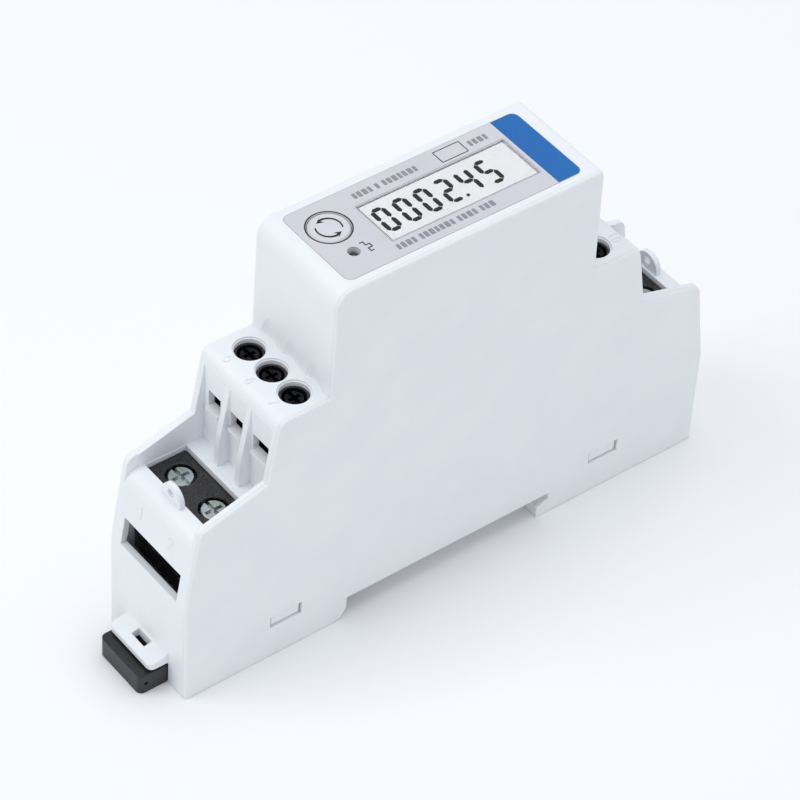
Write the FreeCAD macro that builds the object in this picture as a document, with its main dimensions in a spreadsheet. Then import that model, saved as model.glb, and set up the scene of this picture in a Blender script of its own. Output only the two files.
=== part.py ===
"""One-module electricity meter for a 35 mm rail, as separate pieces.

X runs across the module, from the closed wall of the tub to the flat cover. Y runs along the
module, with the sliding rail clip at the -Y end. Z points away from the rail. Heights in the
sheet are counted from the feet, and every piece is placed so that the row's origin lies at the
middle of the face that rests on the rail.
"""
import FreeCAD, Part
import math
import os

import Sketcher
from FreeCAD import Placement, Rotation, Vector

# Driving dimensions in millimetres (turns in degrees), each with what it measures.
SIZES = {
    # outline of the module, seen along X
    "half_width": (9.0, "half of one 18 mm module"),
    "half_length": (45.0, "half of the 90 mm body"),
    "bend_z": (16.85, "end walls start to lean in"),
    "knee_y": (42.9, "corner at the top of an end wall"),
    "knee_z": (30.6, "height of that corner"),
    "ledge_y": (32.2, "foot of a leaning shoulder wall"),
    "ledge_z": (33.75, "height of that foot"),
    "shoulder_y": (30.4, "outer edge of a shoulder"),
    "shoulder_z": (44.0, "height of both shoulders"),
    "riser_y": (22.3, "foot of the raised front"),
    "front_y": (22.0, "edge of the raised front"),
    "height": (62.0, "feet to display face"),
    "rail_seat": (3.8, "feet to the face on the rail"),
    "near_foot_y": (17.86, "inner wall of the clip's foot"),
    "hook_y": (16.0, "tip of the fixed rail hook"),
    "hook_tip_z": (1.9, "top of the hook's tip"),
    "hook_root_y": (17.9, "end of the hook's slot"),
    "hook_root_z": (2.75, "floor of the slot's end"),
    # tub
    "seam_x": (8.5, "seam between tub and cover skin"),
    "wall": (1.2, "moulded wall"),
    "end_wall": (1.0, "end and bay walls"),
    "tub_inside_x": (7.8, "inner face of the tub's closed wall"),
    "web_x": (7.7, "inner face of the well wall beside the cover"),
    "well_step_x": (7.6, "closed wall beside the terminal opening"),
    "well_step_y": (41.3, "end of that thicker stretch"),
    "cavity_floor": (5.4, "inside of the rail seat wall"),
    "cavity_knee_y": (42.3, "inside of an end wall under the deck"),
    "deck_z": (28.7, "deck of a terminal well"),
    "deck_under_z": (27.6, "underside of the deck"),
    "bay_y": (30.75, "upright wall of the wire bays"),
    "cavity_top_y": (20.8, "inside of the raised front"),
    "cavity_relief": (1.7, "cut across the cavity's top corners"),
    "roll": (2.2, "rolled edge between end wall and deck"),
    "front_round": (2.6, "rounded near edge of the front"),
    "small_round": (0.8, "other edge of the front"),
    "corner_round": (1.5, "knee and shoulder corners"),
    "foot_round": (2.5, "corner of the near foot"),
    "rim_round": (0.45, "edges of both broad faces"),
    # openings of the tub
    "cable_half": (6.5, "half width of a cable window"),
    "cable_low": (17.2, "sill of a cable window"),
    "cable_high": (21.8, "head of a cable window"),
    "opening_half": (7.5, "half width of a terminal opening"),
    "opening_out_y": (40.3, "outer edge of a terminal opening"),
    "opening_in_y": (33.65, "inner edge of a terminal opening"),
    "rib_thick": (1.0, "rib between two wire bays"),
    "rib_one_x": (-2.8, "first rib"),
    "rib_two_x": (2.0, "second rib"),
    "rib_foot_y": (32.6, "foot of a rib"),
    "rib_top_z": (42.86, "end of a rib's front edge"),
    "rib_root_y": (30.6, "ribs run into the bay wall"),
    "slot_low": (35.4, "sill of a wire entry"),
    "slot_high": (38.1, "head of a wire entry"),
    "slot_one_a": (-6.6, "first wire entry"),
    "slot_one_b": (-3.9, "first wire entry"),
    "slot_two_a": (-1.6, "second wire entry"),
    "slot_two_b": (1.1, "second wire entry"),
    "slot_three_a": (3.5, "third wire entry"),
    "slot_three_b": (6.9, "third wire entry"),
    "lip": (0.5, "sill standing out below a wire entry"),
    "access_y": (25.4, "row of screwdriver holes"),
    "pitch": (5.0, "between two screwdriver holes"),
    "access_r": (2.15, "screwdriver hole"),
    "access_rim_r": (2.35, "rebate round the hole"),
    "access_rim_depth": (0.25, "depth of that rebate"),
    "relief_r": (3.65, "screwdriver relief at the shoulder"),
    "relief_top_r": (3.1, "screwdriver relief at its top"),
    "relief_high": (4.2, "height of the relief"),
    # sealing lugs
    "lug_r": (2.15, "sealing lug"),
    "lug_z": (29.35, "centre of the lug"),
    "lug_eye_r": (0.65, "eye for a sealing wire"),
    "lug_eye_z": (30.2, "centre of the eye"),
    "lug_out_y": (41.4, "outer face of the lug"),
    "lug_thick": (0.8, "thickness of the lug"),
    # clip, its channel and its guard tab
    "clip_half": (4.8, "half width of the clip's grip"),
    "clip_gap": (0.1, "clearance beside the clip"),
    "clip_high": (3.3, "top of the clip"),
    "clip_roof": (3.5, "roof of the clip's channel"),
    "clip_out_y": (49.6, "outer face of the grip"),
    "clip_nose_y": (16.0, "tip of the clip's nose"),
    "groove_half": (5.5, "half width of the guide grooves"),
    "groove_low": (1.1, "floor of the guide grooves"),
    "tab_half": (4.9, "half width of the guard tab"),
    "tab_out_y": (48.0, "outer edge of the guard tab"),
    "tab_low": (3.8, "underside of the guard tab"),
    "tab_edge_z": (4.65, "top of the tab's outer edge"),
    "tab_root_z": (5.3, "top of the tab at the end wall"),
    "tab_hole_half": (1.5, "half width of the screwdriver hole"),
    "tab_hole_y": (46.6, "outer edge of that hole"),
    "tab_hole_in": (45.35, "inner edge of that hole"),
    "tab_fillet": (0.8, "hollow between the tab and the end wall"),
    "tab_round": (0.9, "corners of the tab"),
    # snap windows
    "snap_near_a": (-31.0, "near snap window"),
    "snap_near_b": (-25.7, "near snap window"),
    "snap_far_a": (25.0, "far snap window"),
    "snap_far_b": (30.3, "far snap window"),
    "seam_round": (0.18, "softened edges along the seam"),
    "snap_low": (5.6, "bottom of the snap windows"),
    "snap_high": (7.75, "top of the snap windows"),
    "snap_gap": (0.3, "clearance round a snap lug"),
    "snap_face_x": (8.7, "outer face of a snap lug"),
    "cover_gap": (0.1, "clearance round the cover's inner plate"),
    # front label, window, button and lamp
    "label_a": (-7.5, "label, side"),
    "label_b": (7.4, "label, side"),
    "label_near": (-19.3, "label, near end"),
    "label_far": (19.6, "label, far end"),
    "label_round": (1.2, "label corners"),
    "label_pocket": (0.2, "depth of the label pocket"),
    "label_thick": (0.22, "label film"),
    "window_a": (-3.75, "display opening, side"),
    "window_b": (4.25, "display opening, side"),
    "window_near": (-9.8, "display opening, near end"),
    "window_far": (14.7, "display opening, far end"),
    "window_gap": (0.05, "clearance round the window"),
    "window_lip": (0.6, "rebate for the window round its opening"),
    "window_floor": (61.58, "floor of that rebate"),
    "glass_step": (60.2, "display glass narrows to pass through the opening"),
    "button_x": (-2.45, "button axis"),
    "button_y": (-15.1, "button axis"),
    "button_r": (2.9, "button cap"),
    "dish_r": (2.55, "shallow dish in the cap"),
    "button_hole_r": (3.0, "hole for the button"),
    "button_flange_r": (3.4, "flange that keeps the button in"),
    "lamp_x": (3.1, "pulse lamp axis"),
    "lamp_y": (-15.2, "pulse lamp axis"),
    "lamp_r": (0.8, "pulse lamp body"),
    "lamp_hole_r": (0.9, "hole for the lamp"),
    # boards
    "board_thick": (1.6, "main board"),
    "main_board_z": (31.0, "underside of the main board"),
    "display_board_z": (54.0, "underside of the display board"),
    "display_board_top": (55.2, "top of the display board"),
    # main terminals
    "terminal_x": (3.8, "main screws from the middle"),
    "terminal_y": (37.1, "main screws from the middle"),
    "block_half": (7.5, "half width of a terminal block"),
    "block_out_y": (42.0, "outer face of a main block"),
    "block_in_y": (32.0, "inner face of a main block"),
    "block_low": (14.4, "underside of a main block"),
    "block_high": (27.3, "body of a main block"),
    "block_top": (28.0, "top of a main block in its opening"),
    "head_r": (2.0, "main screw head"),
    "head_low": (26.3, "underside of the head"),
    "head_high": (27.85, "top of the head"),
    "head_bore_r": (2.15, "well round the head"),
    "shank_r": (1.45, "main screw thread"),
    "head_ledge": (0.7, "ledge that carries the head"),
    "cage_half": (2.6, "half width of a clamp cage"),
    "cage_deep": (2.3, "half depth of a clamp cage"),
    "cage_low": (16.3, "open cage, underside"),
    "cage_floor": (17.3, "open cage, wire floor"),
    "cage_roof": (21.5, "open cage, under its threaded wall"),
    "cage_high": (22.6, "open cage, top"),
    "cage_gap": (0.15, "clearance round a cage"),
    "bar_half": (1.6, "half width of the copper"),
    "bar_low": (20.4, "underside of the copper"),
    "bar_high": (21.4, "top of the copper"),
    # signal terminals
    "signal_half": (7.4, "half width of a signal block"),
    "signal_out_y": (29.4, "outer face of a signal block"),
    "signal_in_y": (21.6, "inner face of a signal block"),
    "signal_high": (42.5, "body of a signal block"),
    "chimney_r": (2.05, "chimney in an access hole"),
    "chimney_top": (43.15, "top of a chimney"),
    "small_head_r": (1.6, "signal screw head"),
    "small_head_low": (41.7, "underside of that head"),
    "small_head_high": (42.95, "top of that head"),
    "small_bore_r": (1.75, "chimney bore"),
    "small_shank_r": (1.0, "signal screw thread"),
    "small_ledge": (1.15, "ledge that carries that head"),
    "small_cage_half": (1.8, "half width of a signal cage"),
    "small_cage_deep": (1.7, "half depth of a signal cage"),
    "small_cage_low": (34.5, "open signal cage, underside"),
    "small_cage_floor": (35.1, "open signal cage, wire floor"),
    "small_cage_roof": (38.1, "open signal cage, under its top wall"),
    "small_cage_high": (38.9, "open signal cage, top"),
    "blade_half": (0.8, "half width of a contact blade"),
    "blade_low": (37.4, "underside of a blade"),
    "blade_high": (38.0, "top of a blade"),
    "leg_end": (30.4, "solder end of the contact legs"),
    # current path and sensor
    "jog_y": (29.5, "line conductor turns down and across"),
    "jog_thick": (1.0, "thickness of that stretch"),
    "sensor_x": (1.0, "axis of the current sensor"),
    "sensor_z": (14.0, "axis of the current sensor"),
    "sensor_r": (6.0, "outside of the current sensor"),
    "sensor_hole_r": (2.7, "hole of the current sensor"),
    "sensor_half": (4.0, "half length of the current sensor"),
    "pin_end": (31.9, "upper solder ends"),
}

doc = FreeCAD.newDocument("rail_meter")
sheet = doc.addObject("Spreadsheet::Sheet", "dims")
for row, (alias, (size, meaning)) in enumerate(SIZES.items(), start=1):
    sheet.set("A%d" % row, meaning)
    sheet.set("B%d" % row, str(size))
    sheet.setAlias("B%d" % row, alias)
doc.recompute()


def signed_words(expression):
    """Yields (sign, word) for each term of a sum such as 'wall + 0.2 - lip'."""
    sign = 1
    for word in str(expression).replace("+", " + ").replace("-", " - ").split():
        if word in "+-":
            sign = sign if word == "+" else -sign
        else:
            yield sign, word
            sign = 1


def number(expression):
    """The value of a sum of sheet aliases and plain numbers."""
    total = 0.0
    for sign, word in signed_words(expression):
        total += sign * (sheet.get(word) if word in SIZES else float(word))
    return total


def bound(expression):
    """The same sum as an expression on the sheet's cells."""
    words = []
    for sign, word in signed_words(expression):
        words.append("%s %s" % ("-" if sign < 0 else "+", "dims." + word if word in SIZES else word))
    return "0 " + " ".join(words)


def less(expression):
    """The sum with every sign turned round."""
    return " ".join("%s %s" % ("+" if sign < 0 else "-", word) for sign, word in signed_words(expression))


def seated(expression):
    """A height from the feet, counted from the rail seat instead."""
    return "%s - rail_seat" % expression


def bind(item, settings):
    """Ties properties of an object to sums of sheet cells."""
    for name, expression in settings.items():
        item.setExpression(name, bound(expression))


# Part primitives ------------------------------------------------------------------------------
def block(name, x, y, z):
    """A box between two bounds on each axis; heights are from the feet."""
    item = doc.addObject("Part::Box", name)
    bind(item, {
        "Length": "%s %s" % (x[1], less(x[0])),
        "Width": "%s %s" % (y[1], less(y[0])),
        "Height": "%s %s" % (z[1], less(z[0])),
        "Placement.Base.x": x[0],
        "Placement.Base.y": y[0],
        "Placement.Base.z": seated(z[0]),
    })
    return item


TURNS = {
    "X": Rotation(Vector(0, 1, 0), 90),
    "Y": Rotation(Vector(1, 0, 0), -90),
    "Z": Rotation(),
}


def drum(name, radius, start, length, axis="Z", top_radius=None):
    """A cylinder, or a cone where top_radius is given, from a start point along an axis."""
    item = doc.addObject("Part::Cone" if top_radius else "Part::Cylinder", name)
    item.Placement = Placement(Vector(), TURNS[axis])
    bind(item, {
        "Height": length,
        "Placement.Base.x": start[0],
        "Placement.Base.y": start[1],
        "Placement.Base.z": seated(start[2]),
    })
    if top_radius:
        bind(item, {"Radius1": radius, "Radius2": top_radius})
    else:
        bind(item, {"Radius": radius})
    return item


def ball(name, radius, centre):
    """A sphere."""
    item = doc.addObject("Part::Sphere", name)
    bind(item, {
        "Radius": radius,
        "Placement.Base.x": centre[0],
        "Placement.Base.y": centre[1],
        "Placement.Base.z": seated(centre[2]),
    })
    return item


def join(name, pieces):
    """One solid from several that meet, or a group of solids that don't."""
    item = doc.addObject("Part::MultiFuse", name)
    item.Shapes = pieces
    item.Refine = True
    return item


def trim(name, base, tools):
    """The base with all the tools cut away."""
    item = doc.addObject("Part::Cut", name)
    item.Base = base
    item.Tool = tools[0] if len(tools) == 1 else join(name + "_tools", tools)
    item.Refine = True
    return item


# PartDesign bodies ----------------------------------------------------------------------------
FACING = {"X": "YZ_Plane", "Y": "XZ_Plane", "Z": "XY_Plane"}


def new_body(name):
    """A body whose sketches count heights from the feet."""
    body = doc.addObject("PartDesign::Body", name)
    body.setExpression("Placement.Base.z", bound("- rail_seat"))
    return body


def new_sketch(body, name, axis, level):
    """A sketch square to an axis, at a level along that axis."""
    sketch = body.newObject("Sketcher::SketchObject", name)
    role = FACING[axis]
    sketch.AttachmentSupport = [next(p for p in body.Origin.OriginFeatures if p.Role == role)]
    sketch.MapMode = "FlatFace"
    offset = less(level) if axis == "Y" else level
    sketch.setExpression("AttachmentOffset.Base.z", bound(offset))
    return sketch


def place_point(sketch, geometry, end, point):
    """Ties one end of a line, or a circle's centre, to the sheet."""
    for kind, value, axis_line in (("DistanceX", point[0], -2), ("DistanceY", point[1], -1)):
        size = number(value)
        if abs(size) < 1e-9:
            sketch.addConstraint(Sketcher.Constraint("PointOnObject", geometry, end, axis_line))
            continue
        index = sketch.addConstraint(Sketcher.Constraint(kind, -1, 1, geometry, end, size))
        sketch.setExpression("Constraints[%d]" % index, bound(value))


def draw_loop(sketch, points):
    """A closed outline of straight lines through the points."""
    flat = [Vector(number(a), number(b), 0) for a, b in points]
    first = sketch.GeometryCount
    for start, end in zip(flat, flat[1:] + flat[:1]):
        sketch.addGeometry(Part.LineSegment(start, end), False)
    for index in range(len(points)):
        following = first + (index + 1) % len(points)
        sketch.addConstraint(Sketcher.Constraint("Coincident", first + index, 2, following, 1))
    for index, point in enumerate(points):
        place_point(sketch, first + index, 1, point)


def draw_circle(sketch, centre, radius):
    """A circle tied to the sheet."""
    middle = Vector(number(centre[0]), number(centre[1]), 0)
    index = sketch.addGeometry(Part.Circle(middle, Vector(0, 0, 1), number(radius)), False)
    place_point(sketch, index, 3, centre)
    limit = sketch.addConstraint(Sketcher.Constraint("Radius", index, number(radius)))
    sketch.setExpression("Constraints[%d]" % limit, bound(radius))


def feature(body, name, kind, axis, span, loops=(), circles=()):
    """A pad or pocket between two levels along an axis, checked to have changed the volume.

    A pad grows from the low level and a pocket cuts down from the high one; along Y the
    sketch faces -Y, so there the two levels trade places.
    """
    low, high = span
    start = (low if kind == "Pad" else high) if axis != "Y" else (high if kind == "Pad" else low)
    sketch = new_sketch(body, name + "_sketch", axis, start)
    for points in loops:
        draw_loop(sketch, points)
    for centre, radius in circles:
        draw_circle(sketch, centre, radius)
    before = body.Shape.Volume if body.Tip else 0.0
    item = body.newObject("PartDesign::" + kind, name)
    item.Profile = sketch
    item.setExpression("Length", bound("%s %s" % (high, less(low))))
    item.Refine = True
    doc.recompute()
    if abs(item.Shape.Volume - before) < 1e-3:
        raise RuntimeError("%s changes nothing" % name)
    return item


def round_edges(body, name, radius, wanted):
    """Fillets the edges of the body's tip that the test picks."""
    tip = body.Tip
    names = ["Edge%d" % i for i, edge in enumerate(tip.Shape.Edges, start=1) if wanted(edge)]
    if not names:
        raise RuntimeError("%s finds no edge" % name)
    item = body.newObject("PartDesign::Fillet", name)
    item.Base = (tip, names)
    item.setExpression("Radius", bound(radius))
    doc.recompute()
    return item


def along_x_at(*spots):
    """A test for edges that run along X through any of the (y, z) spots."""
    def wanted(edge):
        a, b = edge.Vertexes[0].Point, edge.Vertexes[-1].Point
        if abs(a.y - b.y) > 1e-4 or abs(a.z - b.z) > 1e-4 or abs(a.x - b.x) < 0.1:
            return False
        return any(abs(a.y - number(y)) < 0.02 and abs(a.z - number(z)) < 0.02 for y, z in spots)
    return wanted


def upright_at(*spots):
    """A test for edges that run along Z through any of the (x, y) spots."""
    def wanted(edge):
        a, b = edge.Vertexes[0].Point, edge.Vertexes[-1].Point
        if abs(a.x - b.x) > 1e-4 or abs(a.y - b.y) > 1e-4 or abs(a.z - b.z) < 0.1:
            return False
        return any(abs(a.x - number(x)) < 0.02 and abs(a.y - number(y)) < 0.02 for x, y in spots)
    return wanted


# Outlines -------------------------------------------------------------------------------------
ENDS = {"near": "-", "far": "+"}


def mirrored(points):
    """The same outline at the other end of the module."""
    return [(less(y), z) for y, z in points]


def rectangle(a, b):
    """An outline between two bounds on each sketch axis."""
    return [(a[0], b[0]), (a[1], b[0]), (a[1], b[1]), (a[0], b[1])]


def at_end(end, outer, inner):
    """Bounds along Y at one end, in rising order, from distances to the middle."""
    if end == "near":
        return (less(outer), less(inner))
    return (inner, outer)


NEAR_OUTLINE = [
    ("- half_length", "bend_z"), ("- knee_y", "knee_z"), ("- ledge_y", "ledge_z"),
    ("- shoulder_y", "shoulder_z"), ("- riser_y", "shoulder_z"), ("- front_y", "height"),
]
OUTLINE = (
    [("- near_foot_y", "0"), ("- half_length", "0")] + NEAR_OUTLINE
    + mirrored(NEAR_OUTLINE)[::-1]
    + [("half_length", "0"), ("hook_y", "0"), ("hook_y - 0.1", "hook_tip_z"),
       ("hook_root_y", "hook_root_z"), ("hook_root_y", "rail_seat"), ("- near_foot_y", "rail_seat")]
)


def cavity_outline(inset="0"):
    """The inside of the tub, or of something that fits in it with an inset all round."""
    near = [
        ("- half_length + end_wall + %s" % inset, "cavity_floor + %s" % inset),
        ("- half_length + end_wall + %s" % inset, "bend_z"),
        ("- cavity_knee_y + %s" % inset, "deck_under_z - %s" % inset),
        ("- bay_y + end_wall + %s" % inset, "deck_under_z - %s" % inset),
        ("- bay_y + end_wall + %s" % inset, "shoulder_z - wall - %s" % inset),
        ("- riser_y + wall + %s" % inset, "shoulder_z - wall - %s" % inset),
        ("- cavity_top_y + %s" % inset, "height - wall - cavity_relief - %s" % inset),
        ("- cavity_top_y + cavity_relief + %s" % inset, "height - wall - %s" % inset),
    ]
    return near + mirrored(near)[::-1]


def round_outline(body):
    """The rounded corners that tub and cover share."""
    round_edges(body, body.Name + "_front_edge", "front_round", along_x_at(("- front_y", "height")))
    round_edges(body, body.Name + "_far_edge", "small_round", along_x_at(("front_y", "height")))
    round_edges(body, body.Name + "_corners", "corner_round", along_x_at(
        ("- knee_y", "knee_z"), ("knee_y", "knee_z"),
        ("- shoulder_y", "shoulder_z"), ("shoulder_y", "shoulder_z")))
    round_edges(body, body.Name + "_foot", "foot_round", along_x_at(("- near_foot_y", "0")))


def rim_edges(level):
    """A test for the outline's edges in one broad face, leaving out the rail recess and feet."""
    plane = number(level)

    def wanted(edge):
        box = edge.BoundBox
        if abs(box.XMin - plane) > 1e-4 or abs(box.XMax - plane) > 1e-4:
            return False
        return box.ZMax > number("rail_seat") + 0.1
    return wanted


# Tub and cover --------------------------------------------------------------------------------
SLOTS = (("slot_one_a", "slot_one_b"), ("slot_two_a", "slot_two_b"), ("slot_three_a", "slot_three_b"))
SIGNAL_X = ("- pitch", "0", "pitch")
SNAPS = (("snap_near_a", "snap_near_b"), ("snap_far_a", "snap_far_b"))


def make_housing():
    """The moulded tub with its wells, bays, holes, lugs, hook, tab and clip channel."""
    body = new_body("main_housing")
    feature(body, "outer_form", "Pad", "X", ("- half_width", "seam_x"), [OUTLINE])
    round_outline(body)
    round_edges(body, "broad_face_rim", "rim_round", rim_edges("- half_width"))
    round_edges(body, "seam_edge", "seam_round", rim_edges("seam_x"))

    above_deck = rectangle(("- half_length - 5", "- bay_y"), ("deck_z", "shoulder_z + 5"))
    feature(body, "wells", "Pocket", "X", ("- well_step_x", "web_x"), [above_deck, mirrored(above_deck)])
    well_front = rectangle(("- half_length - 5", "- well_step_y"), ("deck_z", "shoulder_z + 5"))
    feature(body, "well_fronts", "Pocket", "X", ("- tub_inside_x", "- well_step_x"),
            [well_front, mirrored(well_front)])
    lean = (number("half_length") - number("knee_y")) / (number("knee_z") - number("bend_z"))
    roll_y = number("half_length") - lean * (number("deck_z") - number("bend_z"))
    round_edges(body, "rolled_edges", "roll", along_x_at(
        (-roll_y, "deck_z"), (roll_y, "deck_z")))

    for end in ENDS:
        lug_span = at_end(end, "lug_out_y", "lug_out_y - lug_thick")
        feature(body, end + "_lug", "Pad", "Y", lug_span, circles=[(("0", "lug_z"), "lug_r")])
        feature(body, end + "_eye", "Pocket", "Y", lug_span, circles=[(("0", "lug_eye_z"), "lug_eye_r")])
    feature(body, "cavity", "Pocket", "X", ("- tub_inside_x", "seam_x"), [cavity_outline()])

    rib = [("- rib_root_y", "deck_z - 0.1"), ("- rib_foot_y", "deck_z - 0.1"),
           ("- ledge_y", "ledge_z"), ("- rib_root_y", "rib_top_z")]
    for name, left in (("first_ribs", "rib_one_x"), ("second_ribs", "rib_two_x")):
        feature(body, name, "Pad", "X", (left, left + " + rib_thick"), [rib, mirrored(rib)])

    opening = ("- opening_half", "opening_half")
    feature(body, "terminal_openings", "Pocket", "Z", ("deck_under_z - 0.5", "deck_z + 0.5"), [
        rectangle(opening, at_end(end, "opening_out_y", "opening_in_y")) for end in ENDS])
    for end in ENDS:
        feature(body, end + "_cable_window", "Pocket", "Y",
                at_end(end, "half_length + 1", "cavity_knee_y - 0.5"),
                [rectangle(("- cable_half", "cable_half"), ("cable_low", "cable_high"))])
        feature(body, end + "_sills", "Pad", "Y", at_end(end, "bay_y + lip", "bay_y - 0.2"),
                [rectangle((a, b), ("slot_low - 0.6", "slot_low")) for a, b in SLOTS])
        feature(body, end + "_wire_entries", "Pocket", "Y",
                at_end(end, "bay_y + lip + 0.2", "bay_y - end_wall - 0.2"),
                [rectangle(slot, ("slot_low", "slot_high")) for slot in SLOTS])
    holes = [(x, y) for y in ("- access_y", "access_y") for x in SIGNAL_X]
    feature(body, "access_holes", "Pocket", "Z", ("shoulder_z - wall - 0.5", "shoulder_z + 0.5"),
            circles=[(spot, "access_r") for spot in holes])
    feature(body, "access_rebates", "Pocket", "Z", ("shoulder_z - access_rim_depth", "shoulder_z"),
            circles=[(spot, "access_rim_r") for spot in holes])
    for index, (x, y) in enumerate(holes):
        cone = body.newObject("PartDesign::SubtractiveCone", "driver_relief_%d" % index)
        cone.AttachmentSupport = [next(p for p in body.Origin.OriginFeatures if p.Role == "XY_Plane")]
        cone.MapMode = "FlatFace"
        bind(cone, {
            "Radius1": "relief_r", "Radius2": "relief_top_r", "Height": "relief_high",
            "AttachmentOffset.Base.x": x, "AttachmentOffset.Base.y": y,
            "AttachmentOffset.Base.z": "shoulder_z",
        })
    doc.recompute()

    feature(body, "label_pocket_cut", "Pocket", "Z", ("height - label_pocket", "height + 0.5"),
            [rectangle(("label_a", "label_b"), ("label_near", "label_far"))])
    round_edges(body, "label_pocket_corners", "label_round", upright_at(
        *[(x, y) for x in ("label_a", "label_b") for y in ("label_near", "label_far")]))
    feature(body, "window_rebate", "Pocket", "Z", ("window_floor", "height"),
            [rectangle(("window_a - window_lip", "window_b + window_lip"),
                       ("window_near - window_lip", "window_far + window_lip"))])
    feature(body, "front_openings", "Pocket", "Z", ("height - wall - 0.5", "height"),
            [rectangle(("window_a", "window_b"), ("window_near", "window_far"))],
            [(("button_x", "button_y"), "button_hole_r"), (("lamp_x", "lamp_y"), "lamp_hole_r")])

    channel = ("- clip_half - clip_gap", "clip_half + clip_gap")
    feature(body, "clip_channel", "Pocket", "Y", ("- half_length - 0.5", "- near_foot_y + 0.5"),
            [rectangle(channel, ("-0.5", "clip_roof"))])
    feature(body, "clip_grooves", "Pocket", "Y", ("- half_length + wall", "- near_foot_y + 0.5"),
            [rectangle(("- groove_half", "groove_half"), ("groove_low", "clip_roof"))])
    tab = [("- half_length + 0.2", "tab_low"), ("- tab_out_y", "tab_low"), ("- tab_out_y", "tab_edge_z"),
           ("- half_length", "tab_root_z"), ("- half_length + 0.2", "tab_root_z")]
    feature(body, "guard_tab", "Pad", "X", ("- tab_half", "tab_half"), [tab])
    round_edges(body, "guard_tab_root", "tab_fillet", along_x_at(("- half_length", "tab_root_z")))
    round_edges(body, "guard_tab_corners", "tab_round", upright_at(
        ("- tab_half", "- tab_out_y"), ("tab_half", "- tab_out_y")))
    feature(body, "guard_tab_hole", "Pocket", "Z", ("tab_low - 0.2", "tab_root_z + 0.2"),
            [rectangle(("- tab_hole_half", "tab_hole_half"), ("- tab_hole_y", "- tab_hole_in"))])

    for index, (low, high) in enumerate(SNAPS):
        span = (low + " + snap_gap", high + " - snap_gap")
        feature(body, "snap_root_%d" % index, "Pad", "X", ("web_x - 1.5", "seam_x - 0.1"),
                [rectangle(span, ("cavity_floor - 0.1", "snap_high - snap_gap"))])
        feature(body, "snap_face_%d" % index, "Pad", "X", ("seam_x - 0.1", "snap_face_x"),
                [rectangle(span, ("snap_low + snap_gap - 0.1", "snap_high - snap_gap"))])
        ledge = at_end("near" if index == 0 else "far", "bay_y - end_wall", "access_y + 1")
        feature(body, "board_ledge_%d" % index, "Pad", "X", ("- tub_inside_x - 0.1", "- tub_inside_x + 1"),
                [rectangle(ledge, ("main_board_z - 1", "main_board_z"))])
    return body


def make_cover():
    """The flat cover: a skin over the whole side and a plate that fills the tub's open side."""
    body = new_body("side_cover")
    feature(body, "cover_skin", "Pad", "X", ("seam_x", "half_width"), [OUTLINE])
    round_outline(body)
    round_edges(body, "cover_rim", "rim_round", rim_edges("half_width"))
    feature(body, "cover_plate", "Pad", "X", ("web_x", "seam_x + 0.1"), [cavity_outline("cover_gap")])
    feature(body, "snap_windows", "Pocket", "X", ("web_x - 0.5", "half_width + 0.5"),
            [rectangle(span, ("snap_low", "snap_high")) for span in SNAPS])
    feature(body, "snap_notches", "Pocket", "X", ("web_x - 0.5", "seam_x"),
            [rectangle(span, ("cavity_floor - 0.3", "snap_low + 0.1")) for span in SNAPS])
    return body


def make_clip():
    """The rail clip: a grip, a flanged tongue in the channel and a nose under the rail's edge."""
    body = new_body("din_clip")
    feature(body, "grip", "Pad", "Z", ("0", "clip_high"),
            [rectangle(("- clip_half", "clip_half"), ("- clip_out_y", "- half_length - 0.1"))])
    round_edges(body, "grip_corners", "tab_round", upright_at(
        ("- clip_half", "- clip_out_y"), ("clip_half", "- clip_out_y")))
    feature(body, "tongue", "Pad", "X", ("- clip_half + 0.05", "clip_half - 0.05"),
            [rectangle(("- half_length - 0.3", "- near_foot_y - 1"), ("0.15", "clip_high - 0.1"))])
    nose = [("- near_foot_y - 1.2", "0.15"), ("- clip_nose_y - 0.6", "0.15"), ("- clip_nose_y", "0.8"),
            ("- clip_nose_y", "1.4"), ("- near_foot_y + 0.2", "2.7"), ("- near_foot_y - 1.2", "2.7")]
    feature(body, "nose", "Pad", "X", ("- clip_half + 0.8", "clip_half - 0.8"), [nose])
    feature(body, "guide_flanges", "Pad", "Z", ("groove_low + 0.15", "clip_high - 0.1"),
            [rectangle(("- groove_half + 0.15", "groove_half - 0.15"),
                       ("- knee_y + 2.4", "- near_foot_y - 2.1"))])
    feature(body, "spring_slits", "Pocket", "Z", ("-0.5", "clip_high + 0.5"),
            [rectangle(("2.9", "3.4"), ("-38", "-24")), rectangle(("-3.4", "-2.9"), ("-38", "-24"))])
    feature(body, "lever_slot", "Pocket", "Z", ("0.8", "clip_high + 0.2"),
            [rectangle(("- tab_hole_half", "tab_hole_half"), ("- tab_hole_y - 0.4", "- half_length - 0.4"))])
    feature(body, "grip_dimple", "Pocket", "X", ("clip_half - 0.35", "clip_half + 0.2"),
            circles=[(("- clip_out_y + 1.1", "1.7"), "0.3")])
    return body


def make_label():
    """The printed film, with openings for the window, the button and the lamp."""
    body = new_body("front_label")
    base = "height - label_pocket"
    feature(body, "film", "Pad", "Z", (base, base + " + label_thick"),
            [rectangle(("label_a + 0.05", "label_b - 0.05"), ("label_near + 0.05", "label_far - 0.05"))])
    corners = [(x, y) for x in ("label_a + 0.05", "label_b - 0.05")
               for y in ("label_near + 0.05", "label_far - 0.05")]
    round_edges(body, "film_corners", "label_round - 0.05", upright_at(*corners))
    feature(body, "film_openings", "Pocket", "Z", (base + " - 0.2", base + " + label_thick + 0.2"),
            [rectangle(("window_a", "window_b"), ("window_near", "window_far"))],
            [(("button_x", "button_y"), "button_hole_r"), (("lamp_x", "lamp_y"), "lamp_hole_r")])
    return body


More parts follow.
